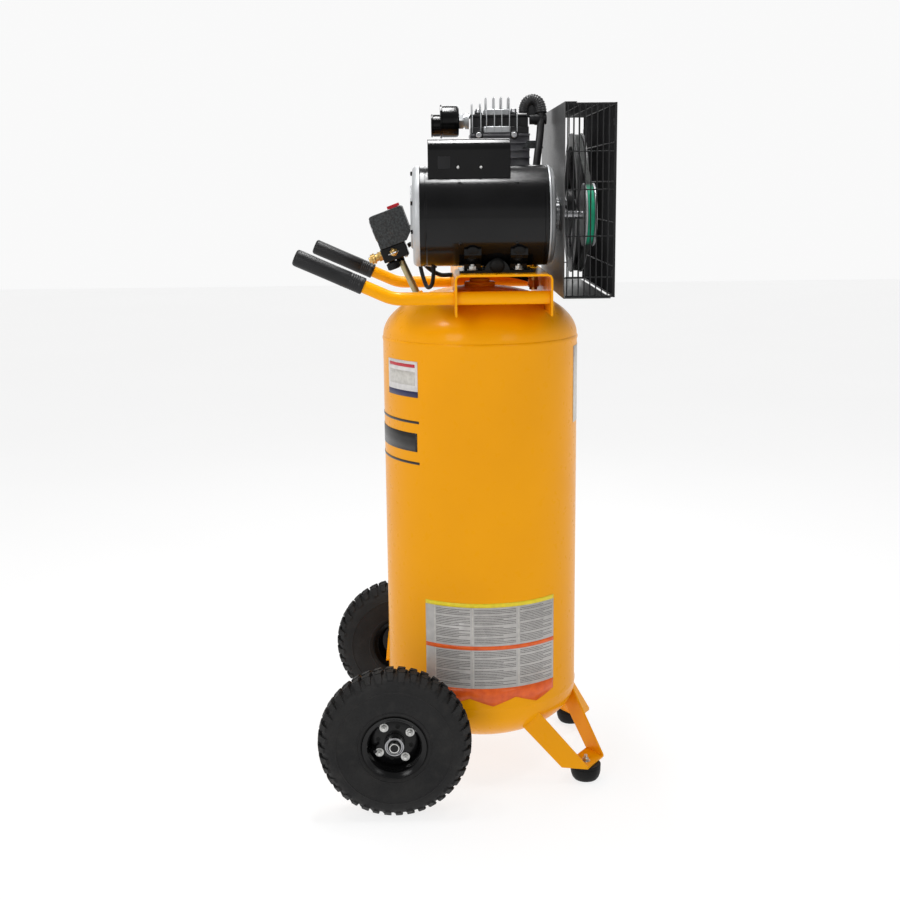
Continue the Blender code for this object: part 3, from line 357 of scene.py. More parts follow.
GLASS = clear_glass()

# ---------------------------------------------------------------- shapes


def lathe(shape, profile, matrix, steps=64):
    """Adds a solid of revolution from (radius, height) pairs, closed on itself or ending on the axis."""
    rings = []
    for radius, height in profile:
        count = steps if radius > 0 else 1
        ring = []
        for k in range(count):
            angle = 2 * pi * k / steps
            ring.append(shape.verts.new(matrix @ spoke(radius, angle, height)))
        rings.append(ring)
    pairs = list(zip(rings, rings[1:]))
    if profile[0][0] > 0 or profile[-1][0] > 0:
        pairs.append((rings[-1], rings[0]))
    for one, two in pairs:
        for k in range(steps):
            corners = [
                one[k % len(one)], one[(k + 1) % len(one)], two[(k + 1) % len(two)], two[k % len(two)]
            ]
            unique = list(dict.fromkeys(corners))
            if len(unique) > 2:
                shape.faces.new(unique)


def disc(radius, low, high):
    """The profile of a plain disc between two heights."""
    return [(0, low), (radius, low), (radius, high), (0, high)]


def band(inner, outer, low, high):
    """The profile of a plain ring between two heights."""
    return [(inner, low), (outer, low), (outer, high), (inner, high)]


def turned(matrix, k, count):
    """The matrix turned about its own Z by k steps of a full turn."""
    return matrix @ Matrix.Rotation(2 * pi * k / count, 4, "Z")


def join_rings(shape, one, two):
    """Adds the faces between two rings of points."""
    for k in range(len(one)):
        j = (k + 1) % len(one)
        shape.faces.new((one[k], one[j], two[j], two[k]))


def prism(shape, outline, low, high, matrix=FLAT):
    """Adds an outline in the matrix's X and Y, from low to high along its Z."""
    ends = []
    for height in (low, high):
        ends.append([shape.verts.new(matrix @ Vector((a, b, height))) for a, b in outline])
    shape.faces.new(ends[0])
    shape.faces.new(ends[1])
    join_rings(shape, *ends)


def box(shape, low, high, matrix=FLAT):
    """Adds a block between two opposite corners."""
    outline = [(low[0], low[1]), (high[0], low[1]), (high[0], high[1]), (low[0], high[1])]
    prism(shape, outline, low[2], high[2], matrix)


def tube(shape, points, radius, sides=16):
    """Adds a round tube with flat ends along the points. The radius is one number, or one for each point."""
    points = [Vector(p) for p in points]
    radii = radius if isinstance(radius, list) else [radius] * len(points)
    before = (points[1] - points[0]).normalized()
    side = before.orthogonal().normalized()
    rings = []
    for k, point in enumerate(points):
        ahead_point = points[min(k + 1, len(points) - 1)]
        behind_point = points[max(k - 1, 0)]
        along = (ahead_point - behind_point).normalized()
        side = (before.rotation_difference(along) @ side).normalized()
        before = along
        other = along.cross(side)
        ring = []
        for n in range(sides):
            angle = 2 * pi * n / sides
            ring.append(shape.verts.new(point + radii[k] * (cos(angle) * side + sin(angle) * other)))
        rings.append(ring)
    for one, two in zip(rings, rings[1:]):
        join_rings(shape, one, two)
    shape.faces.new(rings[0])
    shape.faces.new(rings[-1])


def smooth_route(stops, per_stretch=8):
    """Points along a smooth curve through the stops."""
    stops = [Vector(stop) for stop in stops]
    ends = [2 * stops[0] - stops[1], *stops, 2 * stops[-1] - stops[-2]]
    points = [stops[0]]
    for k in range(1, len(stops)):
        before, start, end, after = ends[k - 1 : k + 3]
        for n in range(1, per_stretch + 1):
            t = n / per_stretch
            a = 2 * start + (end - before) * t
            b = (2 * before - 5 * start + 4 * end - after) * t**2
            c = (3 * start - before - 3 * end + after) * t**3
            points.append((a + b + c) / 2)
    return points


def rounded(a_low, b_low, a_high, b_high, radius, steps=6):
    """The outline of a rectangle with round corners."""
    corners = (
        (a_high - radius, b_high - radius, 0), (a_low + radius, b_high - radius, pi / 2),
        (a_low + radius, b_low + radius, pi), (a_high - radius, b_low + radius, 3 * pi / 2)
    )
    outline = []
    for a, b, start in corners:
        for k in range(steps + 1):
            angle = start + k * pi / 2 / steps
            outline.append((a + radius * cos(angle), b + radius * sin(angle)))
    return outline


def hexagon(radius):
    return [(radius * cos(pi * k / 3), radius * sin(pi * k / 3)) for k in range(6)]


def solid(add, *values):
    """A new shape that starts with one solid."""
    shape = bmesh.new()
    add(shape, *values)
    return shape


def hex_bolt(shape, centre, direction, radius=0.006, head=0.004, washer=True):
    """Adds a hexagon head on a washer, standing on its centre."""
    matrix = aim(centre, direction)
    base = 0
    if washer:
        base = 0.0012
        lathe(shape, disc(radius * 1.45, 0, base), matrix, 28)
    prism(shape, hexagon(radius), base, base + head, matrix)
    top = base + head
    lathe(
        shape,
        [(0, top - 0.0004), (radius * 0.8, top - 0.0004), (radius * 0.7, top + 0.0005), (0, top + 0.0005)],
        matrix, 24
    )


def round_screw(shape, centre, direction, radius=0.0045):
    """Adds a domed screw head with a pit for the driver."""
    matrix = aim(centre, direction)
    dome = [(0, 0), (radius, 0)]
    for k in range(1, 5):
        angle = pi / 2 * k / 5
        dome.append((radius * cos(angle), radius * 0.55 * sin(angle)))
    dome.append((radius * 0.3, radius * 0.5))
    dome.append((radius * 0.22, radius * 0.25))
    dome.append((0, radius * 0.25))
    lathe(shape, dome, matrix, 24)


def socket_bolt(shape, centre, direction, radius=0.0062, head=0.006):
    """Adds a cylinder head with a deep socket."""
    matrix = aim(centre, direction)
    profile = [
        (0, 0), (radius, 0), (radius, head - 0.0007), (radius - 0.0007, head), (radius * 0.55, head),
        (radius * 0.5, head * 0.35), (0, head * 0.35)
    ]
    lathe(shape, profile, matrix, 28)


SHARP_ANGLE = 32


def round_edges(thing, width, angle):
    """Rounds every edge that turns by more than the angle, in degrees."""
    edge = thing.modifiers.new("rounded_edges", "BEVEL")
    edge.width = width
    edge.segments = 2
    edge.limit_method = "ANGLE"
    edge.angle_limit = radians(angle)


def piece(name, shape, material, body=ROOT, node=None, angle=SHARP_ANGLE, bevel=0):
    """Turns the shape into a named piece that rides on a body and, if asked, stands for a frame node."""
    bmesh.ops.recalc_face_normals(shape, faces=shape.faces)
    mesh = bpy.data.meshes.new(name)
    shape.to_mesh(mesh)
    shape.free()
    for face in mesh.polygons:
        face.use_smooth = True
    mesh.set_sharp_from_angle(angle=radians(angle))
    thing = bpy.data.objects.new(name, mesh)
    bpy.context.scene.collection.objects.link(thing)
    mesh.materials.append(material)
    if bevel:
        round_edges(thing, bevel, angle)
    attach(thing, body)
    if node:
        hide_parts(node)
    return thing


def dress(node, material, bevel=0.0005):
    """Gives a node of the frame its finish and softens its edges."""
    thing = frame["nodes"][node]
    thing.data.materials.clear()
    thing.data.materials.append(material)
    join = thing.modifiers.new("joined_corners", "WELD")
    join.merge_threshold = 0.00002
    if bevel:
        round_edges(thing, bevel, SHARP_ANGLE)


# ---------------------------------------------------------------- tank and its labels


def make_tank():
    """Two elliptical heads, the rolled shell with its two seams, and the boss on the crown."""
    start = acos(0.006 / TANK_R)
    profile = [(0, tank_low.z)]
    for k in range(25):
        angle = start - start * k / 24
        profile.append((TANK_R * cos(angle), SEAM_LOW - TANK_R / 2 * sin(angle)))
    profile += [(TANK_R + 0.0004, SEAM_LOW + 0.004), (TANK_R + 0.0012, SEAM_LOW + 0.007)]
    profile += [(TANK_R + 0.0012, SEAM_LOW + 0.01), (TANK_R, SEAM_LOW + 0.013)]
    bead = SEAM_HIGH - 0.004
    profile += [(TANK_R, bead - 0.006), (TANK_R + 0.001, bead - 0.003), (TANK_R + 0.0013, bead)]
    profile += [(TANK_R + 0.0004, bead + 0.003), (TANK_R - 0.0004, bead + 0.004)]
    boss_r = 0.032
    for k in range(25):
        angle = acos(boss_r / TANK_R) * k / 24
        profile.append(((TANK_R - 0.0004) * cos(angle), SEAM_HIGH + TANK_R / 2 * sin(angle)))
    top = tank_high.z
    profile += [(boss_r, top - 0.008), (boss_r - 0.0015, top - 0.0065), (0.0225, top - 0.0065)]
    profile += [(0.021, top - 0.006), (0.021, top - 0.001), (0.02, top), (0.011, top)]
    profile += [(0.01, top - 0.001), (0.01, top - 0.01), (0, top - 0.01)]
    piece(
        "tank_body", solid(lathe, profile, Matrix.Translation((TANK.x, TANK.y, 0)), 144), YELLOW,
        node="tank", angle=28, bevel=0.0004
    )


TOOTH_DEPTH = 0.017


def on_tank(rise, angle, z):
    """A point just off the tank's side, at an angle in radians from +X towards +Y."""
    reach = TANK_R + rise
    return TANK.x + reach * cos(angle), TANK.y + reach * sin(angle), z


def patch(name, material, angle_low, angle_high, low, high, rise=0.0003, columns=48, teeth=0):
    """A thin sheet on the tank's side, between two angles in degrees from +X towards +Y and two heights. The
    lower edge can run in a zigzag of a few teeth."""
    shape = bmesh.new()
    grid = []
    for i in range(columns + 1):
        share = i / columns
        angle = radians(angle_low + (angle_high - angle_low) * share)
        bottom = low
        if teeth:
            bottom -= TOOTH_DEPTH * (1 - abs(2 * (share * teeth % 1) - 1))
        column = []
        for j in range(3):
            z = bottom + (high - bottom) * j / 2
            column.append(shape.verts.new(on_tank(rise, angle, z)))
        grid.append(column)
    for one, two in zip(grid, grid[1:]):
        for j in range(2):
            shape.faces.new((one[j], two[j], two[j + 1], one[j + 1]))
    thing = piece(name, shape, material)
    thick = thing.modifiers.new("sheet", "SOLIDIFY")
    thick.thickness = 0.0003
    thick.offset = 1


def make_label_bars(columns, blocks):
    """Rows of plain bars of uneven length, in place of the small print."""
    shape = bmesh.new()
    rows = 0
    for low, high in blocks:
        z = high - 0.003
        while z > low:
            rows += 1
            for number, (start, end) in enumerate(columns):
                share = 0.97 - 0.3 * (sin(rows * 2.4 + number * 1.7) > 0.72)
                if (rows + number) % 7 == 6:
                    continue
                stop = start + (end - start) * share
                for k in range(8):
                    corners = []
                    for step, level in ((k, 0), (k + 1, 0), (k + 1, 1), (k, 1)):
                        angle = radians(start + (stop - start) * step / 8)
                        corners.append(shape.verts.new(on_tank(0.0007, angle, z + 0.0015 * level)))
                    shape.faces.new(corners)
            z -= 0.0034
    piece("label_bars", shape, PANEL_INK)


def make_labels():
    low_angle, high_angle = -36.5, 45
    patch("label_field", PANEL_GREY, low_angle, high_angle, 0.225, 0.3985)
    patch("label_header", PANEL_LEMON, low_angle, high_angle, 0.3985, 0.4075)
    patch("label_middle", PANEL_ORANGE, low_angle, high_angle, 0.308, 0.3165, 0.0006)
    patch("label_foot", PANEL_ORANGE, low_angle, high_angle, 0.203, 0.225, teeth=3)
    for number, angle in enumerate((-30.5, -7.5, 19.5)):
        patch(f"label_rule_{number}", PANEL_PALE, angle, angle + 0.5, 0.226, 0.398, 0.0005, columns=2)
    make_label_bars(((-29.5, -8.2), (-6.4, 18.8), (20.6, 44.2)), ((0.229, 0.306), (0.319, 0.396)))
    patch("badge_field", PANEL_WHITE, -69, -40, 0.836, 0.8965, columns=24)
    patch("badge_foot", PANEL_BLUE, -69, -40, 0.824, 0.836, columns=24)
    patch("badge_bar_upper", PANEL_RED, -67, -42, 0.884, 0.8905, 0.0005, columns=24)
    patch("badge_bar_lower", PANEL_PALE, -67, -42, 0.848, 0.876, 0.0005, columns=24)
    patch("stripe_upper", PANEL_BLACK, -140, -39.5, 0.771, 0.776)
    patch("stripe_lower", PANEL_BLACK, -140, -39.5, 0.687, 0.692)
    patch("stripe_band", PANEL_BLACK, -140, -41, 0.713, 0.751)
    patch("data_plate", PANEL_PALE, 68, 112, 0.756, 0.915, columns=24)


def make_drain():
    low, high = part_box("drain_valve")
    spot = middle("drain_valve")
    base = Matrix.Translation((spot.x, spot.y, low.z))
    height = high.z - low.z
    stem = [(0, 0), (0.0065, 0), (0.0065, 0.008), (0.0045, 0.0085), (0.0045, 0.0095), (0, 0.0095)]
    shape = solid(lathe, stem, base, 32)
    prism(shape, hexagon(0.0095), 0.009, 0.0225, base)
    lathe(shape, disc(0.012, 0.022, height), base, 32)
    piece("drain_body", shape, BRASS, node="drain_valve", bevel=0.0004)
    low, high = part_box("drain_handle")
    shape = solid(prism, rounded(low.x, low.y, high.x, high.y, 0.0038, 8), low.z, high.z)
    lathe(shape, disc(0.0055, 0, 0.0004), aim(middle("drain_handle") - Vector((0, 0, 0.0037)), UP), 24)
    piece("drain_wing", shape, BRASS, body="drain_handle", node="drain_handle", bevel=0.0006)


# ---------------------------------------------------------------- platform, handles


def make_platform():
    """The folded plate over the tank, its bolts, and the weld beads round the handle tubes."""
    dress("platform", YELLOW, 0.0006)
    shape = bmesh.new()
    for x in (-0.128, -0.052):
        for y in (PLATFORM_LOW.y + 0.016, PLATFORM_HIGH.y - 0.016):
            hex_bolt(shape, (x, y, PLATFORM_HIGH.z), UP, 0.0055, 0.0045)
    piece("platform_bolts", shape, ZINC, bevel=0.0003)
    shape = bmesh.new()
    for way in (-1, 1):
        for k in range(24):
            angle = 2 * pi * k / 24
            spot = Vector((way * 0.225, PLATFORM_LOW.y - 0.0008, 1.027))
            spot += Vector((0.0137 * cos(angle), 0, 0.0137 * sin(angle)))
            lathe(
                shape, [(0, -0.0012), (0.0022, -0.0006), (0.0022, 0.0006), (0, 0.0012)], aim(spot, BACK), 10
            )
    piece("handle_welds", shape, YELLOW, angle=60)


def make_handles():
    """Two bent tubes that rise towards the front, with ribbed foam grips."""
    rise = radians(23.9)
    along = Vector((0, -cos(rise), sin(rise)))
    for side in ("right", "left"):
        low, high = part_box(f"handle_tube_{side}")
        radius = (high.x - low.x) / 2
        x = (low.x + high.x) / 2
        bend = Vector((x, TANK.y - 0.1745, low.z + radius))
        bend_r = 0.08
        reach = bend_r * sin(rise / 2) / cos(rise / 2)
        points = [Vector((x, high.y, bend.z)), Vector((x, bend.y + reach + 0.02, bend.z))]
        for k in range(17):
            angle = rise * k / 16
            start = bend + Vector((0, reach, 0))
            points.append(start + bend_r * Vector((0, -sin(angle), 1 - cos(angle))))
        points.append(bend + along * 0.196)
        piece(
            f"handle_bar_{side}", solid(tube, points, radius, 36), YELLOW, node=f"handle_tube_{side}",
            angle=50
        )
        length = 0.142
        outer = 0.0165
        sleeve = [
            (0, length - 0.001), (radius + 0.0002, length - 0.005), (radius + 0.0002, 0),
            (outer - 0.0016, 0), (outer - 0.0003, 0.001), (outer, 0.0028)
        ]
        for k in range(5):
            base = 0.01 + k * 0.0045
            sleeve += [
                (outer, base), (outer - 0.0005, base + 0.0007), (outer - 0.0005, base + 0.0013),
                (outer, base + 0.002)
            ]
        sleeve += [
            (outer - 0.0002, length * 0.5), (outer, length - 0.006), (outer - 0.0006, length - 0.0028)
        ]
        sleeve += [(outer - 0.003, length - 0.0006), (outer - 0.005, length), (0, length)]
        piece(
            f"grip_{side}",
            solid(lathe, sleeve[1:] + [(0, length - 0.005)], aim(bend + along * 0.061, along), 48), GRIP,
            node=f"handle_grip_{side}", angle=40
        )


# ---------------------------------------------------------------- wheels and feet


def make_tyre(side, way, centre, body):
    wall = [
        (0.0562, 0.0255), (0.06, 0.0272), (0.064, 0.031), (0.069, 0.0345), (0.072, 0.0352), (0.073, 0.0366),
        (0.0745, 0.0366), (0.0755, 0.0358), (0.09, 0.0382), (0.1, 0.039), (0.114, 0.0386), (0.115, 0.0394),
        (0.1165, 0.0394), (0.1175, 0.0382), (0.127, 0.036), (0.135, 0.0322), (0.1405, 0.0265),
        (0.1442, 0.02), (0.1462, 0.01), (0.1467, 0)
    ]
    out = aim(centre, (way, 0, 0))
    piece(
        f"tyre_{side}",
        solid(lathe, wall + [(radius, -height) for radius, height in reversed(wall[:-1])], out, 120), TYRE,
        body=body, node=f"wheel_tyre_{side}", angle=30
    )

    def skin(across):
        """The carcass radius at this distance from the middle."""
        across = abs(across)
        for (r1, h1), (r2, h2) in zip(wall[-7:], wall[-6:]):
            if h2 <= across <= h1:
                return r2 + (r1 - r2) * (across - h2) / (h1 - h2)
        return wall[-1][0]

    def cap(across):
        """The tread's outer radius at this distance from the middle."""
        across = abs(across)
        return 0.1538 - 0.0022 * (across / 0.018) ** 2 - max(0, across - 0.02) * 0.62

    def lug(shape, spots):
        """One tread block from its corners, each (angle, distance from the middle)."""
        lower, upper = [], []
        for turn_angle, across in spots:
            base = skin(across)
            for ring, radius in ((lower, base - 0.001), (upper, max(cap(across), base + 0.0006))):
                ring.append(shape.verts.new(out @ spoke(radius, turn_angle, across)))
        shape.faces.new(upper)
        shape.faces.new(lower)
        join_rings(shape, lower, upper)

    count = 40
    pitch_angle = 2 * pi / count
    shape = bmesh.new()
    for k in range(count):
        for hand in (-1, 1):
            start = pitch_angle * k
            wide = pitch_angle * (0.62 if k % 2 else 0.52)
            outer = 0.0335 if k % 2 else 0.03
            lug(
                shape,
                [
                    (start, hand * 0.0175), (start + wide, hand * 0.0175),
                    (start + wide * 0.96, hand * 0.024), (start + wide * 0.9, hand * outer),
                    (start + wide * 0.06, hand * outer), (start, hand * 0.024)
                ]
            )
            lean = pitch_angle * 0.2 * hand
            lug(
                shape,
                [
                    (start - lean, hand * 0.0012), (start - lean + pitch_angle * 0.5, hand * 0.0012),
                    (start + pitch_angle * 0.6, hand * 0.0085), (start + pitch_angle * 0.56, hand * 0.0158),
                    (start + pitch_angle * 0.04, hand * 0.0158), (start - pitch_angle * 0.02, hand * 0.0085)
                ]
            )
    piece(f"tread_{side}", shape, TYRE, body=body, angle=25, bevel=0.0006)


def make_wheel(side, way):
    spin = Vector(joint(f"wheel_{side}_spin")["pos_m"])
    body = f"wheel_{side}"
    out = aim(spin, (way, 0, 0))
    make_tyre(side, way, spin, body)
    rim = [
        (0.0132, 0.008), (0.018, 0.008), (0.02, 0.007), (0.02, 0.005), (0.044, 0.005), (0.0475, 0.003),
        (0.05, -0.002), (0.051, 0.008), (0.052, 0.024), (0.0545, 0.0295), (0.059, 0.0318), (0.0625, 0.0345),
        (0.064, 0.035), (0.064, 0.033), (0.057, 0.027), (0.0555, 0.02), (0.055, -0.02), (0.057, -0.027),
        (0.064, -0.033), (0.064, -0.035), (0.059, -0.0318), (0.0545, -0.0295), (0.052, -0.024),
        (0.0505, -0.008), (0.048, -0.0035), (0.044, 0.0015), (0.02, 0.0015), (0.019, -0.03), (0.0132, -0.03)
    ]
    piece(
        f"rim_{side}", solid(lathe, rim, out, 96), BLACK, body=body, node=f"wheel_rim_{side}", angle=30,
        bevel=0.0005
    )
    make_rim_bolts(side, way, out, body)
    make_hub(side, out, body)
    make_axle(side, way, spin)


def make_rim_bolts(side, way, out, body):
    bolts = bmesh.new()
    holes = bmesh.new()
    for k in range(4):
        angle = radians(34 + 90 * k)
        spot = out @ spoke(0.0372, angle, 0.005)
        hex_bolt(bolts, spot, (way, 0, 0), 0.0062, 0.005)
        lathe(bolts, disc(0.003, 0.004, 0.0105), aim(spot, (way, 0, 0)), 16)
        angle += radians(45)
        spot = out @ spoke(0.0335, angle, 0.0049)
        lathe(holes, band(0.0032, 0.0046, 0, 0.0007), aim(spot, (way, 0, 0)), 20)
        lathe(holes, disc(0.0031, 0, 0.0003), aim(spot, (way, 0, 0)), 20)
    piece(f"rim_bolts_{side}", bolts, ZINC, body=body, bevel=0.0003)
    piece(f"rim_holes_{side}", holes, RUBBER, body=body)


def make_hub(side, out, body):
    """The hub's sleeve, and the tyre's valve on the rim."""
    hub = [
        (0.0135, 0.0075), (0.0192, 0.0075), (0.0195, 0.026), (0.0188, 0.0292), (0.017, 0.0297),
        (0.0158, 0.027), (0.0135, 0.027)
    ]
    piece(f"hub_{side}", solid(lathe, hub, out, 64), STEEL, body=body, bevel=0.0003)

    angle = radians(-75)
    foot = out @ spoke(0.049, angle, 0.006)
    head = out @ spoke(0.04, angle, 0.0245)
    stem = (head - foot).normalized()
    piece(
        f"valve_stem_{side}",
        solid(
            lathe, [(0, 0), (0.0055, 0), (0.0048, 0.006), (0.004, 0.012), (0.0036, 0.0145), (0, 0.0145)],
            aim(foot, stem), 24
        ),
        RUBBER, body=body
    )
    piece(
        f"valve_cap_{side}",
        solid(
            lathe, [(0, 0.014), (0.0038, 0.014), (0.0038, 0.0215), (0.0028, 0.0225), (0, 0.0225)],
            aim(foot, stem), 24
        ),
        BLACK, body=body, bevel=0.0002
    )


def make_axle(side, way, spin):
    """An axle from its bracket through the hub, with a collar, a washer and a domed nut."""
    low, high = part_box(f"wheel_axle_{side}")
    near = min(abs(low.x), abs(high.x))
    far = max(abs(low.x), abs(high.x))
    axle = aim(Vector((way * near, spin.y, spin.z)), (way, 0, 0))
    length = far - near
    shape = solid(
        lathe,
        [(0, 0.004), (0.0113, 0.004), (0.0113, length - 0.004), (0.01, length - 0.001), (0, length - 0.001)],
        axle, 40
    )
    prism(shape, hexagon(0.014), 0, 0.008, axle)
    bracket_face = abs(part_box(f"wheel_bracket_{side}")[0 if way < 0 else 1].x) + 0.0004
    lathe(shape, band(0.0113, 0.0158, bracket_face - near, 0.2589 - near), axle, 40)
    piece(f"axle_{side}", shape, ZINC, node=f"wheel_axle_{side}", bevel=0.0004)
    nut_start = length - 0.0066
    washer = [(0.0113, nut_start - 0.0001), (0.0132, nut_start - 0.0001), (0.0132, nut_start + 0.0012)]
    shape = solid(lathe, washer + [(0.0113, nut_start + 0.0012)], axle, 40)
    prism(shape, hexagon(0.0122), nut_start + 0.0012, length - 0.0012, axle)
    lathe(
        shape,
        [(0, length - 0.0016), (0.0085, length - 0.0016), (0.0075, length - 0.0002), (0, length - 0.0002)],
        axle, 32
    )
    piece(f"axle_nut_{side}", shape, BLACK, bevel=0.0004)
    dress(f"wheel_bracket_{side}", YELLOW, 0.0008)


def make_foot(side):
    dress(f"foot_bracket_{side}", YELLOW, 0.0008)
    spot = middle(f"foot_rubber_{side}")
    base = Matrix.Translation((spot.x, spot.y, 0))
    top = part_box(f"foot_rubber_{side}")[1].z
    profile = [
        (0, 0.003), (0.005, 0.003), (0.0062, 0), (0.02, 0), (0.0245, 0.002), (0.0283, 0.007),
        (0.0305, 0.0135), (0.0317, 0.02), (0.0317, 0.028), (0.031, 0.0285), (0.031, 0.03), (0.032, 0.0305),
        (0.032, top - 0.0015), (0.0308, top), (0, top)
    ]
    piece(f"foot_pad_{side}", solid(lathe, profile, base, 72), RUBBER, node=f"foot_rubber_{side}", angle=40)
    pad_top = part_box(f"foot_bracket_{side}")[0].z + 0.004
    shape = bmesh.new()
    hex_bolt(shape, (spot.x, spot.y, pad_top), UP, 0.0068, 0.0055)
    lathe(shape, disc(0.0038, 0.005, 0.0135), aim((spot.x, spot.y, pad_top), UP), 20)
    piece(f"foot_bolt_{side}", shape, ZINC, bevel=0.0003)


# ---------------------------------------------------------------- motor


MOTOR_AXIS = aim((MOTOR.x, 0, MOTOR.z), BACK)


def ends(node):
    """Where a node starts and ends along Y."""
    low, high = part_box(node)
    return low.y, high.y


def make_motor_shell():
    """A rolled can with a shallow groove near each end."""
    front, rear = ends("motor_shell")
    lip = MOTOR_R - 0.0005
    groove = MOTOR_R - 0.0008
    shell = [
        (MOTOR_R - 0.003, front), (lip, front), (MOTOR_R, front + 0.001), (MOTOR_R, front + 0.0095),
        (groove, front + 0.0105), (groove, front + 0.0125), (MOTOR_R, front + 0.0135),
        (MOTOR_R, rear - 0.009), (groove, rear - 0.0082), (groove, rear - 0.0062), (MOTOR_R, rear - 0.0052),
        (MOTOR_R, rear - 0.001), (lip, rear), (MOTOR_R - 0.003, rear)
    ]
    piece("motor_can", solid(lathe, shell, MOTOR_AXIS, 128), BLACK, node="motor_shell", angle=25)


def make_motor_screws():
    """Four in the can's side and six round the front bell."""
    bell = ends("motor_front_bell")[0]
    screws = bmesh.new()
    for y in (-0.0441, 0.0645):
        for z in (1.2436, 1.1305):
            rise = z - MOTOR.z
            out = Vector((sqrt(MOTOR_R**2 - rise**2), 0, rise)).normalized()
            spot = Vector((MOTOR.x, y + TANK.y, MOTOR.z)) + out * (MOTOR_R - 0.0004)
            round_screw(screws, spot, out, 0.0042)
    for angle in (18, 162, 198, 342, 72, 108):
        spot = (
            MOTOR.x + 0.0865 * cos(radians(angle)), bell + 0.0046, MOTOR.z + 0.0865 * sin(radians(angle))
        )
        hex_bolt(screws, spot, FRONT, 0.0045, 0.0035, False)
    piece("motor_screws", screws, BLACK)


def make_front_bell():
    """A cast bell round a recessed, slotted plate."""
    front, rear = ends("motor_front_bell")
    bell = [
        (0, front + 0.0018), (0.0436, front + 0.0018), (0.044, front), (0.059, front),
        (0.061, front + 0.0012), (0.061, front + 0.004), (0.09, front + 0.0044), (0.0935, front + 0.006),
        (0.096, front + 0.0095), (MOTOR_R, front + 0.012), (MOTOR_R, rear), (0.03, rear),
        (0.03, rear - 0.009), (0, rear - 0.009)
    ]
    piece("motor_bell_front", solid(lathe, bell, MOTOR_AXIS, 128), CAST, node="motor_front_bell", angle=28)
    cover = [
        (0, front + 0.0016), (0.043, front + 0.0016), (0.043, front + 0.0006), (0.042, front + 0.0001),
        (0, front + 0.0001)
    ]
    shape = solid(lathe, cover, MOTOR_AXIS, 96)
    for k in range(12):
        matrix = turned(aim((MOTOR.x, front + 0.0006, MOTOR.z), BACK), k, 12)
        prism(shape, rounded(0.015, -0.002, 0.038, 0.002, 0.0018, 3), -0.0005, 0, matrix)
    piece("motor_end_plate", shape, SATIN_BLACK, bevel=0.0002)


def make_rear_bell():
    """A cast bell with fins round its bearing and ribs on its face."""
    front, rear = ends("motor_rear_bell")
    face = rear - 0.0155
    bell = [
        (0.0085, front), (MOTOR_R, front), (MOTOR_R, front + 0.0029), (MOTOR_R - 0.0014, front + 0.0043),
        (0.0935, front + 0.005), (0.0925, front + 0.0085), (0.0905, face - 0.0012), (0.088, face),
        (0.03, face), (0.028, face + 0.001), (0.0276, rear - 0.001), (0.0266, rear), (0.0085, rear)
    ]
    shape = solid(lathe, bell, MOTOR_AXIS, 128)
    for k in range(18):
        matrix = turned(aim((MOTOR.x, face, MOTOR.z), BACK), k, 18)
        box(shape, (0.0262, -0.0014, 0), (0.03, 0.0014, 0.0148), matrix)
        box(shape, (0.034, -0.0011, -0.001), (0.084, 0.0011, 0.0014), matrix)
    piece("motor_bell_rear", shape, CAST, node="motor_rear_bell", angle=28, bevel=0.0003)


def make_rotor():
    """The rotor on its shaft, and the pulley that the shaft carries."""
    dress("motor_stator", DARK_CAST, 0)
    front, rear = ends("motor_rotor")
    rotor = [
        (0, front), (0.0078, front), (0.008, front + 0.001), (0.008, front + 0.051), (0.057, front + 0.052),
        (0.057, front + 0.192), (0.008, front + 0.193), (0.008, rear - 0.001), (0.0074, rear), (0, rear)
    ]
    piece(
        "motor_shaft", solid(lathe, rotor, MOTOR_AXIS, 64), STEEL, body="motor_rotor", node="motor_rotor",
        angle=28
    )

    front, rear = ends("motor_pulley")
    belt = middle("drive_belt").y
    pulley = [
        (0.0083, front), (0.06, front), (0.061, front + 0.001), (0.0608, belt - 0.0072),
        (0.0496, belt - 0.0068), (0.0496, belt + 0.0068), (0.0608, belt + 0.0072), (0.061, rear - 0.001),
        (0.06, rear), (0.052, rear), (0.05, rear - 0.0035), (0.021, rear - 0.0035), (0.02, rear),
        (0.0083, rear)
    ]
    piece(
        "pulley", solid(lathe, pulley, MOTOR_AXIS, 96), CAST, body="motor_rotor", node="motor_pulley",
        angle=28, bevel=0.0003
    )


def make_motor_base():
    """The folded base with its rubber feet, bolts and caps."""
    dress("motor_base", BLACK, 0.0015)
    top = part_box("motor_base")[0].z + 0.004
    shape = bmesh.new()
    bolts = bmesh.new()
    for y in (-0.0205, 0.069):
        for way in (-1, 1):
            x = MOTOR.x + way * 0.055
            spot = at(x, y, top)
            lathe(shape, disc(0.0105, 0, 0.0016), Matrix.Translation(spot), 32)
            hex_bolt(bolts, spot + Vector((0, 0, 0.0016)), UP, 0.0076, 0.0062)
            lathe(bolts, disc(0.004, 0.006, 0.0125), aim(spot, UP), 20)
            horn = at(MOTOR.x + way * 0.0765, y, 1.113)
            cap = [
                (0, -0.0005), (0.013, -0.0005), (0.013, 0.002), (0.011, 0.0036), (0.006, 0.0044), (0, 0.0046)
            ]
            lathe(shape, cap, aim(horn, (way, 0, -0.45)), 40)
    piece("motor_feet", shape, RUBBER, bevel=0.0006)
    piece("motor_base_bolts", bolts, ZINC, bevel=0.0003)
    dome = at(MOTOR.x + 0.0605, 0.027, top + 0.0095)
    profile = [(0, 0), (0.015, 0), (0.014, 0.003), (0.01, 0.0055), (0.005, 0.0066), (0, 0.007)]
    piece("motor_base_cap", solid(lathe, profile, aim(dome, RIGHT), 40), RUBBER, angle=50)


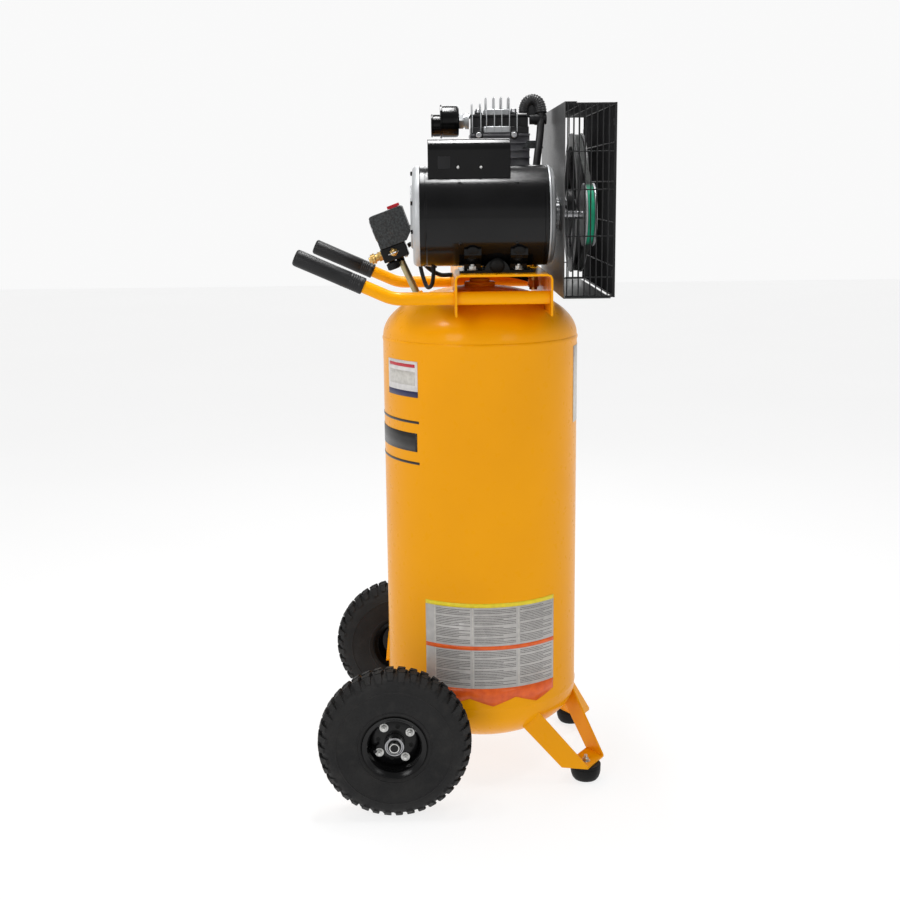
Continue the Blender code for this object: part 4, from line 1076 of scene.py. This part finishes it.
def make_capacitor():
    """A box with a rounded top that sits on the motor's can."""
    low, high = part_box("capacitor_cover")
    radius = 0.024
    outline = rounded(low.x, high.z - 0.079, high.x, high.z, radius, 14)[:30]
    lower = []
    for k in range(25):
        x = low.x + (high.x - low.x) * k / 24
        lower.append((x, MOTOR.z + sqrt((MOTOR_R + 0.0004) ** 2 - (x - MOTOR.x) ** 2)))
    piece(
        "capacitor_box", solid(prism, outline + lower, low.y, high.y, ACROSS), BLACK, node="capacitor_cover",
        angle=28, bevel=0.0012
    )
    shape = bmesh.new()
    for y in (low.y + 0.0574, low.y + 0.1012):
        hole = disc(0.0036, -0.0008, 0.0003)
        lathe(shape, hole, aim((high.x, y, high.z - 0.0535), RIGHT), 24)
        box(
            shape, (high.x - 0.0006, y - 0.0011, high.z - 0.0535),
            (high.x + 0.0003, y + 0.0011, high.z - 0.0345)
        )
    piece("capacitor_slots", shape, RUBBER)
    shape = bmesh.new()
    for y in (low.y + 0.0574, low.y + 0.1012):
        round_screw(shape, (high.x, y, high.z - 0.0535), RIGHT, 0.003)
    piece("capacitor_screws", shape, ZINC)
    piece(
        "capacitor_plate",
        solid(
            prism, rounded(low.y + 0.019, high.z - 0.056, low.y + 0.043, high.z - 0.033, 0.002, 3),
            high.x - 0.0008, high.x + 0.0008, ALONG
        ),
        SATIN_BLACK, bevel=0.0003
    )


# ---------------------------------------------------------------- pump


def make_crankcase():
    dress("crankcase", CAST_BLACK, 0.0016)
    low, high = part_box("crankcase_cover")
    spot = middle("crankcase_cover")
    along = aim((spot.x, low.y, spot.z), BACK)
    depth = high.y - low.y
    profile = [
        (0, 0), (0.018, 0), (0.02, 0.0012), (0.0225, 0.004), (0.03, 0.0052), (0.04, 0.006), (0.042, 0.0075),
        (0.042, 0.0117), (0.0335, 0.0117), (0.0335, depth), (0, depth)
    ]
    shape = solid(lathe, profile, along, 72)
    for k in range(6):
        matrix = turned(along, k, 6)
        box(shape, (0.012, -0.0014, 0.0022), (0.034, 0.0014, 0.007), matrix)
    piece("crankcase_lid", shape, CAST_BLACK, node="crankcase_cover", bevel=0.0005)
    shape = bmesh.new()
    for k in range(6):
        angle = radians(30 + 60 * k)
        hex_bolt(
            shape, (spot.x + 0.0372 * cos(angle), low.y + 0.0062, spot.z + 0.0372 * sin(angle)), FRONT,
            0.0042, 0.0032
        )
    case_low, case_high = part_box("crankcase")
    for y in (case_low.y + 0.02, case_high.y - 0.02):
        hex_bolt(shape, (case_high.x, y, case_low.z + 0.012), RIGHT, 0.006, 0.0045)
    piece("crankcase_bolts", shape, ZINC, bevel=0.0003)
    spot = Vector((case_high.x - 0.0005, (case_low.y + case_high.y) / 2, case_low.z + 0.06))
    piece(
        "sight_glass_rim",
        solid(
            lathe, [(0.007, 0), (0.012, 0), (0.012, 0.003), (0.0105, 0.004), (0.007, 0.004)],
            aim(spot, RIGHT), 40
        ),
        BRASS, bevel=0.0003
    )
    piece(
        "sight_glass",
        solid(lathe, [(0, 0), (0.0071, 0), (0.0071, 0.0026), (0, 0.003)], aim(spot, RIGHT), 32), GLASS
    )
    shape = bmesh.new()
    for side in (1, -1):
        for k in range(5):
            z = case_low.z + 0.088 + k * 0.02
            x = (case_high.x if side > 0 else case_low.x)
            box(
                shape, (min(x, x + side * 0.0025), case_low.y + 0.018, z),
                (max(x, x + side * 0.0025), case_high.y - 0.018, z + 0.004)
            )
    piece("crankcase_ribs", shape, CAST_BLACK, bevel=0.001)


def make_cylinders():
    """The finned block and head with their bolts, and the parts that run inside."""
    dress("cylinder_block", DARK_CAST, 0.0007)
    low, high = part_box("cylinder_head")
    base = low.z
    plate = base + 0.014
    roof = base + 0.04
    shape = bmesh.new()
    bolts = bmesh.new()
    box(shape, (low.x + 0.004, low.y + 0.002, base), (high.x - 0.004, high.y - 0.002, plate))
    box(shape, (low.x + 0.012, low.y + 0.003, plate), (high.x - 0.012, high.y - 0.003, roof - 0.006))
    box(shape, (low.x + 0.008, low.y, roof - 0.006), (high.x - 0.008, high.y, roof - 0.001))
    piece("head_core", shape, CAST_BLACK, bevel=0.0012)
    shape = bmesh.new()
    for side in (1, -1):
        edge = high.x if side > 0 else low.x
        near, far = sorted((edge - side * 0.0105, edge - side * 0.0025))
        box(shape, (near, low.y + 0.028, base + 0.0016), (far, high.y - 0.04, base + 0.015))
    box(shape, (low.x + 0.014, low.y + 0.03, roof - 0.004), (high.x - 0.014, high.y - 0.042, roof + 0.01))
    piece("head_pads", shape, CAST, bevel=0.0022)
    shape = bmesh.new()
    for n, offset in enumerate((0.005, 0.0225, 0.0343, 0.0507, 0.0659, 0.0817)):
        y = low.y + offset
        top = high.z if n > 1 else high.z - 0.012
        outline = [
            (low.x + 0.003, base + 0.002), (high.x - 0.003, base + 0.002), (high.x, base + 0.012),
            (high.x, roof - 0.004), (high.x - 0.01, top - 0.003), (high.x - 0.016, top),
            (low.x + 0.016, top), (low.x + 0.01, top - 0.003), (low.x, roof - 0.004), (low.x, base + 0.012)
        ]
        prism(shape, outline, y - 0.0009, y + 0.0009, ACROSS)
    y = low.y + 0.0975
    box(shape, (low.x, y - 0.001, base + 0.002), (high.x, y + 0.001, roof + 0.001))
    piece("head_fins", shape, CAST, node="cylinder_head", bevel=0.0004)
    bosses = bmesh.new()
    for y_share in (0.145, 0.735):
        y = low.y + (high.y - low.y) * y_share
        for side in (1, -1):
            edge = high.x if side > 0 else low.x
            flange = edge + side * 0.0022
            lathe(bosses, disc(0.0092, -0.006, 0), aim((flange, y, base - 0.003), (side, 0, 0)), 32)
            socket_bolt(bolts, (flange - side * 0.0005, y, base - 0.003), (side, 0, 0), 0.006, 0.005)
            lathe(bosses, disc(0.008, -0.001, 0.003), aim((edge - side * 0.017, y, roof), UP), 32)
            socket_bolt(bolts, (edge - side * 0.017, y, roof + 0.003), UP, 0.006, 0.0075)
    piece("head_bolts", bolts, STEEL, bevel=0.0002)
    piece("head_bosses", bosses, CAST_BLACK, bevel=0.0005)
    dress("piston_front", CAST, 0)
    dress("piston_rear", CAST, 0)
    dress("crankshaft", STEEL, 0.0003)


def make_flywheel():
    """A grooved rim and a hub, joined by six twisted arms that work as a fan."""
    low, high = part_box("flywheel")
    along = aim(PUMP, BACK)
    outer = (high.x - low.x) / 2
    face = 0.0123
    groove = outer - 0.0115
    rim = [
        (0.1185, -face), (outer - 0.001, -face), (outer, -face + 0.001), (outer - 0.0004, -0.0072),
        (groove, -0.0067), (groove, 0.0067), (outer - 0.0004, 0.0072), (outer, face - 0.001),
        (outer - 0.001, face), (0.1185, face)
    ]
    hub = [
        (0.0125, -0.02), (0.026, -0.02), (0.028, -0.0185), (0.028, 0.0085), (0.0265, 0.01), (0.0125, 0.01)
    ]
    shape = solid(lathe, rim, along, 128)
    lathe(shape, hub, along, 64)
    for k in range(6):
        start = 2 * pi * k / 6
        for n in range(8):
            corners = []
            for step in (n, n + 1):
                radius = 0.024 + (0.12 - 0.024) * step / 8
                share = (radius - 0.024) / 0.096
                swing = start + radians(16) * share
                width = 0.018 + 0.016 * share
                for hand in (-1, 1):
                    angle = swing + hand * width / 2 / radius
                    twist = hand * (0.003 + 0.0045 * sin(pi * share))
                    corners.append((radius * cos(angle), radius * sin(angle), twist))
            a, b, c, d = corners
            verts = []
            for dz in (-0.0022, 0.0022):
                for x, y, z in (a, b, d, c):
                    verts.append(shape.verts.new(along @ Vector((x, y, z + dz))))
            bottom, top = verts[:4], verts[4:]
            shape.faces.new(bottom)
            shape.faces.new(top)
            join_rings(shape, bottom, top)
    piece("fan_flywheel", shape, GUARD_BLACK, body="flywheel", node="flywheel", angle=35, bevel=0.0004)
    spot = PUMP + Vector((0, 0.01, 0))
    shape = solid(lathe, disc(0.0155, 0, 0.0012), aim(spot, BACK), 32)
    prism(shape, hexagon(0.0105), 0.0012, 0.007, aim(spot, BACK))
    piece("flywheel_bolt", shape, ZINC, body="flywheel", bevel=0.0004)


def make_belt():
    """A V belt with sloping flanks, round both pulleys along the outer tangents."""
    low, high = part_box("drive_belt")
    y_middle = (low.y + high.y) / 2
    width = (high.y - low.y) / 2
    small = Vector((MOTOR.x, MOTOR.z))
    large = Vector((PUMP.x, PUMP.z))
    gap = small - large
    small_r, large_r = 0.05, 0.134
    swing = acos((large_r - small_r) / gap.length)
    base = gap.angle_signed(Vector((1, 0)))
    section = [
        (0.0002, -width * 0.62), (0.0002, width * 0.62), (0.007, width), (0.0082, width * 0.96),
        (0.0082, -width * 0.96), (0.007, -width)
    ]
    path = []
    for centre, radius, start, end, steps in (
        (large, large_r, base + swing, base + 2 * pi - swing, 96),
        (small, small_r, base - swing, base + swing, 48),
    ):
        for k in range(steps + 1):
            path.append((centre, radius, start + (end - start) * k / steps))
    rings = []
    shape = bmesh.new()
    for centre, radius, angle in path:
        ring = []
        for extra, across in section:
            reach = radius + extra
            ring.append(
                shape.verts.new(
                    (centre.x + reach * cos(angle), y_middle + across, centre.y + reach * sin(angle))
                )
            )
        rings.append(ring)
    for one, two in zip(rings, rings[1:] + rings[:1]):
        join_rings(shape, one, two)
    piece("v_belt", shape, BELT, node="drive_belt", angle=30)


def make_air_filter():
    """A ribbed canister behind a toothed inlet, on its threaded elbow."""
    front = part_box("air_filter")[0].y
    spot = middle("air_filter")
    along = aim((spot.x, front, spot.z), BACK)
    profile = [
        (0, 0.019), (0.0335, 0.019), (0.035, 0.0198), (0.035, 0.0222), (0.0338, 0.023), (0.0326, 0.024),
        (0.0326, 0.052), (0.0318, 0.056), (0.029, 0.0583), (0.0195, 0.0585), (0.015, 0.059), (0, 0.059)
    ]
    shape = solid(lathe, profile, along, 80)
    for k in range(5):
        start = 0.0275 + 0.0045 * k
        ring = [(0.032, start), (0.033, start + 0.0006), (0.033, start + 0.0016), (0.032, start + 0.0022)]
        lathe(shape, ring, along, 80)
    inlet = aim((spot.x, front, spot.z - 0.0085), BACK)
    lathe(
        shape, [(0, 0), (0.0225, 0), (0.024, 0.0012), (0.024, 0.003), (0.0215, 0.0045), (0.0215, 0.0192)],
        inlet, 64
    )
    for k in range(16):
        matrix = turned(inlet, k, 16)
        box(shape, (0.0208, -0.0009, 0.005), (0.0224, 0.0009, 0.0185), matrix)
    piece("filter_canister", shape, BLACK, node="air_filter", angle=30)
    shape = solid(prism, hexagon(0.0175), 0.0588, 0.068, along)
    lathe(
        shape,
        [(0, 0.0675), (0.013, 0.0675), (0.013, 0.0715), (0.0165, 0.072), (0.0165, 0.0798), (0, 0.0798)],
        along, 48
    )
    piece("filter_elbow", shape, CAST, bevel=0.0004)


def make_air_path():
    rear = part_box("cylinder_head")[1].y
    valve = middle("check_valve")
    x = -0.056
    stops = [
        (x, rear - 0.0105, 1.385), (x, rear - 0.0098, 1.396), (x + 0.002, rear - 0.0045, 1.407),
        (x + 0.004, rear + 0.0062, 1.4113), (x + 0.007, rear + 0.0168, 1.4062),
        (x + 0.01, rear + 0.0218, 1.393), (x + 0.014, rear + 0.0225, 1.375),
        (x + 0.026, rear + 0.0195, 1.34), (-0.008, rear + 0.012, 1.29), (-0.001, valve.y + 0.002, 1.24),
        (0, valve.y, 1.19), (0, valve.y, 1.12), (0, valve.y, 1.0525)
    ]
    route = smooth_route(stops, 14)
    sleeve_end = 5 * 14 + 8
    radii = []
    for k in range(len(route)):
        radii.append((0.0124 if k % 4 < 2 else 0.0115) if k <= sleeve_end else 0.0077)
    piece("discharge_pipe", solid(tube, route, radii, 28), CAST_BLACK, node="discharge_tube", angle=50)
    shape = bmesh.new()
    box(shape, (x + 0.001, rear - 0.006, 1.376), (x + 0.009, rear + 0.019, 1.406))
    piece("discharge_clamp", shape, CAST_BLACK, bevel=0.0012)
    piece(
        "discharge_nut", solid(prism, hexagon(0.0108), 0, 0.011, aim((0, valve.y, 1.074), UP)), BRASS,
        bevel=0.0005
    )
    elbow = aim((x + 0.012, rear - 0.001, 1.372), BACK)
    profile = [(0, 0), (0.0105, 0), (0.0105, 0.01), (0.0118, 0.0105), (0.0118, 0.02), (0.0105, 0.0205)]
    piece(
        "discharge_elbow", solid(lathe, profile + [(0.0105, 0.034), (0.0095, 0.035), (0, 0.035)], elbow, 40),
        SATIN_BLACK, angle=35
    )
    shroud = [(-0.017, 1.313), (0.027, 1.313), (0.022, 1.329), (-0.007, 1.329)]
    piece(
        "air_deflector", solid(prism, [(rear + a, b) for a, b in shroud], -0.0365, -0.035, ALONG), PEBBLED,
        bevel=0.0004
    )

    low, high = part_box("check_valve")
    base = Matrix.Translation((valve.x, valve.y, low.z))
    height = high.z - low.z
    shape = solid(lathe, disc(0.0085, 0, 0.0058), base, 32)
    prism(shape, hexagon(0.0125), 0.0056, 0.0195, base)
    lathe(
        shape, [(0, 0.019), (0.0098, 0.019), (0.0098, height - 0.001), (0.009, height), (0, height)], base,
        32
    )
    piece("check_valve_body", shape, BRASS, node="check_valve", bevel=0.0004)

    hose_x = -0.045
    stops = [
        at(-0.0136, 0.112, 1.0395), at(-0.027, 0.11, 1.042), at(hose_x, 0.067, 1.052),
        at(hose_x, 0.01, 1.0545), at(hose_x, -0.056, 1.0545), at(hose_x, -0.084, 1.056),
        at(-0.034, -0.112, 1.076), at(-0.022, -0.131, 1.108), at(-0.02, -0.14, 1.1206),
        at(-0.02, -0.1484, 1.1175)
    ]
    piece("hose", solid(tube, smooth_route(stops, 10), 0.0046, 20), RUBBER, node="unloader_hose", angle=50)


# ---------------------------------------------------------------- belt guard


WIRE = 0.00125
EDGE_WIRE = 0.0019
EDGE_LEVELS = (CAGE_LOW.z + 0.002, CAGE_HIGH.z - 0.002)


def rod(shape, start, end, radius=WIRE):
    tube(shape, [start, end], radius, 8)


def levels(shares):
    """Heights given as shares of the cage's height."""
    return [CAGE_LOW.z + (CAGE_HIGH.z - CAGE_LOW.z) * share for share in shares]


def upright(k, count, low, high, margin):
    """The place of wire number k of a row of wires that stand side by side."""
    return low + margin + (high - low - 2 * margin) * k / (count - 1)


def make_side_grille(side, x, inward):
    low, high = CAGE_LOW, CAGE_HIGH
    shape = bmesh.new()
    for k in range(9):
        y = upright(k, 9, low.y, high.y, 0.004)
        rod(shape, (x, y, low.z + WIRE), (x, y, high.z - WIRE))
    for z in levels((0.106, 0.32, 0.56, 0.755)):
        rod(shape, (x + inward * WIRE, low.y + WIRE, z), (x + inward * WIRE, high.y - WIRE, z))
    x += inward * 0.0008
    for z in EDGE_LEVELS:
        rod(shape, (x, low.y + 0.001, z), (x, high.y - 0.001, z), EDGE_WIRE)
    rod(shape, (x, high.y - 0.002, low.z), (x, high.y - 0.002, high.z), EDGE_WIRE)
    piece(f"guard_wires_{side}", shape, SATIN_BLACK, node=f"guard_grille_{side}", angle=60)


def make_rear_grille():
    low, high = CAGE_LOW, CAGE_HIGH
    y = high.y - WIRE
    shape = bmesh.new()
    for k in range(45):
        x = upright(k, 45, low.x, high.x, 0.006)
        rod(shape, (x, y, low.z + WIRE), (x, y, high.z - WIRE))
    for z in levels((0.16, 0.39, 0.6, 0.8)):
        rod(shape, (low.x + 0.004, y - WIRE, z), (high.x - 0.004, y - WIRE, z))
    for z in EDGE_LEVELS:
        rod(shape, (low.x + 0.003, y - 0.001, z), (high.x - 0.003, y - 0.001, z), EDGE_WIRE)
    piece("guard_wires_rear", shape, SATIN_BLACK, node="guard_grille_rear", angle=60)


def make_top_grille():
    low, high = CAGE_LOW, CAGE_HIGH
    shape = bmesh.new()
    for k in range(45):
        x = upright(k, 45, low.x, high.x, 0.006)
        rod(shape, (x, low.y + 0.001, high.z - WIRE), (x, high.y - 0.002, high.z - WIRE))
    for share in (0.3, 0.62):
        y = low.y + (high.y - low.y) * share
        rod(shape, (low.x + 0.004, y, high.z - 2 * WIRE), (high.x - 0.004, y, high.z - 2 * WIRE))
    piece("guard_wires_top", shape, SATIN_BLACK, node="guard_grille_top", angle=60)


def make_guard():
    dress("guard_back_panel", GUARD_BLACK, 0.0004)
    low, high = CAGE_LOW, CAGE_HIGH
    make_side_grille("right", high.x - WIRE, -1)
    make_side_grille("left", low.x + WIRE, 1)
    make_rear_grille()
    make_top_grille()
    shape = bmesh.new()
    for z in (low.z + 0.045, high.z - 0.035):
        for x in (low.x + 0.004, high.x - 0.004):
            box(shape, (x - 0.003, high.y - 0.006, z - 0.006), (x + 0.003, high.y - 0.0002, z + 0.006))
    piece("guard_clips", shape, SATIN_BLACK, bevel=0.0008)


# ---------------------------------------------------------------- controls


def gauge_face(x):
    """The matrix of a gauge on the housing's front."""
    return control(x, -0.031, 0.004) @ Matrix.Rotation(pi / 2, 4, "X")


def make_switch():
    dress("switch_housing", PEBBLED, 0.0014)
    shape = bmesh.new()
    for x in (-0.027, 0.027):
        ring = [(0.0222, -0.0005), (0.0236, -0.0005), (0.0242, 0.0006), (0.0242, 0.0012), (0.0222, 0.0012)]
        lathe(shape, ring, gauge_face(x), 64)
    piece("gauge_surrounds", shape, PEBBLED)
    shape = bmesh.new()
    housing = control(0, 0, 0)
    box(shape, (-0.009, 0.01, 0.0338), (0.009, 0.036, 0.04), housing)
    box(shape, (-0.006, 0.014, 0.0262), (0.006, 0.032, 0.0342), housing)
    for k in range(6):
        y = 0.0125 + k * 0.004
        box(shape, (-0.008, y, 0.0396), (0.008, y + 0.0018, 0.04), housing)
    piece("switch_knob", shape, RED_PLASTIC, body="switch_lever", node="switch_lever", bevel=0.0008)


def make_gauges():
    for name, x in (("tank", -0.027), ("outlet", 0.027)):
        face = gauge_face(x)
        rim = [
            (0.0198, -0.0008), (0.0218, -0.0008), (0.0219, 0.0012), (0.0214, 0.0024), (0.0204, 0.0025),
            (0.0198, 0.0018)
        ]
        piece(f"gauge_rim_{name}", solid(lathe, rim, face, 72), STEEL, node=f"gauge_{name}", angle=40)
        piece(f"gauge_dial_{name}", solid(lathe, disc(0.02, -0.0014, -0.001), face, 64), WHITE_CARD)
        shape = bmesh.new()
        for k in range(31):
            mark = face @ Matrix.Rotation(radians(225 - 270 * k / 30), 4, "Z")
            start, half = (0.0142, 0.0005) if k % 5 == 0 else (0.016, 0.0003)
            box(shape, (start, -half, -0.0011), (0.0182, half, -0.0008), mark)
        lathe(shape, disc(0.0024, -0.0011, -0.0008), face, 24)
        piece(f"gauge_marks_{name}", shape, PANEL_BLACK)
        piece(f"gauge_glass_{name}", solid(lathe, disc(0.0199, 0.0012, 0.0018), face, 64), GLASS)
        dress(f"gauge_needle_{name}", RED_PLASTIC, 0)


def make_manifold():
    block = control(0, 0, 0)
    shape = bmesh.new()
    box(shape, (-0.03, -0.034, -0.066), (0.03, 0.02, -0.0363), block)
    piece("manifold_block", shape, BLACK, node="manifold", bevel=0.0022)
    below = control(0, 0, 0).to_3x3() @ Vector((0, 0, -1))
    shape = bmesh.new()
    for x, y in ((-0.0235, -0.0275), (-0.0235, 0.013), (0.0235, 0.013)):
        socket_bolt(shape, control(x, y, -0.0657).translation, below, 0.0035, 0.003)
    piece("manifold_screws", shape, ZINC)


def make_regulator():
    knob_centre = Vector(joint("regulator_turn")["pos_m"])
    down = CONTROL_TURN.to_3x3() @ Vector(UP)
    knob = aim(knob_centre, down)
    shape = solid(
        lathe,
        [
            (0, 0), (0.0105, 0), (0.0125, 0.0016), (0.0128, 0.014), (0.007, 0.0165), (0.006, 0.0172),
            (0, 0.0172)
        ],
        knob, 64
    )
    for k in range(24):
        matrix = turned(knob, k, 24)
        box(shape, (0.0122, -0.0008, 0.002), (0.0134, 0.0008, 0.0138), matrix)
    piece("regulator_dial", shape, SATIN_BLACK, body="regulator_knob", node="regulator_knob", bevel=0.0003)


def make_coupler():
    """The quick coupler and its locking sleeve."""
    nose = control(-0.012, -0.064, -0.05) @ Matrix.Rotation(-pi / 2, 4, "X")
    profile = [
        (0.0033, 0), (0.0052, 0), (0.006, 0.0008), (0.006, 0.0034), (0.008, 0.0045), (0.008, 0.0208),
        (0.0106, 0.0214), (0.0106, 0.0222), (0.0033, 0.0222)
    ]
    shape = solid(lathe, profile, nose, 48)
    prism(shape, hexagon(0.011), 0.022, 0.0296, nose)
    lathe(shape, disc(0.0034, 0.006, 0.007), nose, 24)
    piece("coupler_core", shape, BRASS, node="coupler_body", bevel=0.0003)
    ring = [
        (0.0083, 0.005), (0.0103, 0.005), (0.0108, 0.0058), (0.0108, 0.0066), (0.01, 0.0072), (0.01, 0.009),
        (0.0108, 0.0098), (0.0112, 0.011), (0.0112, 0.0132), (0.0105, 0.014), (0.0083, 0.014)
    ]
    piece(
        "coupler_ring", solid(lathe, ring, nose, 56), BRASS, body="coupler_sleeve", node="coupler_sleeve",
        angle=25
    )


def make_relief_valve():
    relief = control(0.03, -0.008, -0.05) @ Matrix.Rotation(pi / 2, 4, "Y")
    shape = solid(prism, hexagon(0.0084), 0.0004, 0.006, relief)
    profile = [
        (0.0023, 0.0055), (0.0062, 0.0055), (0.0068, 0.0075), (0.0068, 0.0215), (0.006, 0.0235),
        (0.0045, 0.0248), (0.0023, 0.0248)
    ]
    lathe(shape, profile, relief, 40)
    piece("relief_valve", shape, BRASS, node="safety_valve", bevel=0.0002)
    loop = []
    shape = bmesh.new()
    for k in range(12):
        angle = 2 * pi * k / 12
        loop.append((0.01 + 0.0011 * cos(angle), 0.0011 * sin(angle)))
    lathe(shape, loop, control(0.069, -0.008, -0.05), 48)
    lathe(shape, disc(0.0017, 0.0172, 0.029), relief, 20)
    piece("relief_pull", shape, STEEL, body="safety_ring", node="safety_ring", angle=40)


def make_riser():
    """The threaded pipe that carries the controls, from the tank's crown to the manifold."""
    top = at(0, -0.1648, 1.094)
    foot_y = -0.128
    foot = at(0, foot_y, SEAM_HIGH + TANK_R / 2 * sqrt(1 - (foot_y / TANK_R) ** 2))
    along = (top - foot).normalized()
    length = (top - foot).length
    pipe = aim(foot, along)
    shape = solid(lathe, disc(0.0072, 0.006, length - 0.004), pipe, 40)
    for k in range(9):
        base = length - 0.018 + k * 0.0014
        lathe(
            shape, [(0.006, base), (0.0074, base + 0.0004), (0.0074, base + 0.0007), (0.006, base + 0.0011)],
            pipe, 40
        )
    piece("riser_pipe", shape, YELLOW_ZINC, node="pipe_nipple", angle=40)
    piece(
        "riser_socket",
        solid(
            lathe,
            [(0, -0.002), (0.0128, -0.002), (0.0128, 0.0072), (0.0115, 0.0088), (0.0075, 0.009), (0, 0.009)],
            pipe, 48
        ),
        YELLOW, bevel=0.0004
    )
    meeting = control(0, 0, 0).inverted() @ top
    piece(
        "riser_nut", solid(prism, hexagon(0.0094), -0.0735, -0.0662, control(meeting.x, meeting.y, 0)),
        BLACK, bevel=0.0005
    )


def make_cord():
    stops = [
        at(0.02, -0.1423, 1.1569), at(0.02, -0.137, 1.1588), at(0.021, -0.13, 1.148),
        at(0.025, -0.128, 1.118), at(0.043, -0.121, 1.072), at(0.072, -0.11, 1.04), at(0.096, -0.1, 1.044),
        at(0.105, -0.096, 1.066), at(0.105, -0.0955, 1.0858)
    ]
    piece(
        "motor_lead", solid(tube, smooth_route(stops, 10), 0.0041, 20), RUBBER, node="motor_cord", angle=50
    )
    gland = aim(at(0.105, -0.0955, 1.079), UP)
    piece(
        "lead_gland",
        solid(
            lathe,
            [
                (0.0043, 0), (0.0062, 0), (0.0066, 0.001), (0.0066, 0.005), (0.008, 0.0052), (0.008, 0.0075),
                (0.0043, 0.0075)
            ],
            gland, 32
        ),
        RUBBER, angle=40
    )


# ---------------------------------------------------------------- floor and light


def make_floor():
    size = 14
    shape = bmesh.new()
    corners = [
        shape.verts.new(Vector((a * size, b * size, 0))) for a, b in ((-1, -1), (1, -1), (1, 1), (-1, 1))
    ]
    shape.faces.new(corners)
    mesh = bpy.data.meshes.new("floor")
    shape.to_mesh(mesh)
    shape.free()
    floor = bpy.data.objects.new("floor", mesh)
    bpy.context.scene.collection.objects.link(floor)
    nodes = Nodes("studio_floor")
    tone = nodes.spread(nodes.noise(0.8, 3), 0.3, 0.7)
    paper = nodes.surface(
        {
            "Base Color": nodes.mix(tone, (0.21, 0.21, 0.21), (0.23, 0.23, 0.23)),
            "Emission Color": (1, 1, 1, 1), "Emission Strength": 0.8, "Roughness": 0.8,
            "Specular IOR Level": 0.1
        }
    )
    mesh.materials.append(paper)


def make_sky():
    """Brightest near the horizon, darker overhead and towards +X."""
    world = bpy.data.worlds.new("studio")
    world.use_nodes = True
    tree = world.node_tree
    direction = tree.nodes.new("ShaderNodeTexCoord")
    parts = tree.nodes.new("ShaderNodeSeparateXYZ")
    tree.links.new(direction.outputs["Generated"], parts.inputs["Vector"])

    def ramp(axis, start, far):
        """A smooth change of brightness along one axis of the sky."""
        node = tree.nodes.new("ShaderNodeMapRange")
        node.interpolation_type = "SMOOTHSTEP"
        node.inputs["From Min"].default_value = start[0]
        node.inputs["From Max"].default_value = far[0]
        node.inputs["To Min"].default_value = start[1]
        node.inputs["To Max"].default_value = far[1]
        tree.links.new(parts.outputs[axis], node.inputs["Value"])
        return node.outputs["Result"]

    both = tree.nodes.new("ShaderNodeMath")
    both.operation = "MULTIPLY"
    tree.links.new(ramp("Z", (0.16, 0.95), (0.45, 0.38)), both.inputs[0])
    tree.links.new(ramp("X", (0, 1), (0.8, 0.62)), both.inputs[1])
    background = tree.nodes["Background"]
    background.inputs["Color"].default_value = (1, 1, 1, 1)
    tree.links.new(both.outputs[0], background.inputs["Strength"])
    bpy.context.scene.world = world


def softbox(name, place, towards, width, height, power):
    data = bpy.data.lights.new(name, "AREA")
    data.shape = "RECTANGLE"
    data.size = width
    data.size_y = height
    data.energy = power
    light = bpy.data.objects.new(name, data)
    bpy.context.scene.collection.objects.link(light)
    light.location = place
    light.rotation_mode = "QUATERNION"
    light.rotation_quaternion = (Vector(towards) - Vector(place)).to_track_quat("-Z", "Y")


def make_lights():
    softbox("key", (2.4, -1.5, 2), at(0, 0, 0.7), 0.9, 1.3, 20)
    softbox("fill", (2.5, 1.6, 1.9), at(0, 0, 0.7), 0.9, 1.3, 8)
    softbox("strip", (-0.2, 0.05, 3.1), at(0.1, 0, 1.1), 0.26, 1.1, 42)
    softbox("top_front", (0.4, -1.1, 3), at(0, 0, 1), 0.4, 0.4, 11)
    softbox("top_rear", (0.4, 1.2, 3), at(0, 0, 1), 0.4, 0.4, 11)
    softbox("back", (-2.3, 0.4, 2.4), at(0, 0, 0.8), 1.6, 1, 16)
    bpy.context.scene.view_settings.view_transform = "Standard"


make_tank()
make_labels()
make_drain()
make_platform()
make_handles()
for side, way in (("right", 1), ("left", -1)):
    make_wheel(side, way)
    make_foot(side)
make_motor_shell()
make_motor_screws()
make_front_bell()
make_rear_bell()
make_rotor()
make_motor_base()
make_capacitor()
make_crankcase()
make_cylinders()
make_flywheel()
make_belt()
make_air_filter()
make_air_path()
make_guard()
make_switch()
make_gauges()
make_manifold()
make_regulator()
make_coupler()
make_relief_valve()
make_riser()
make_cord()
make_floor()
make_sky()
make_lights()
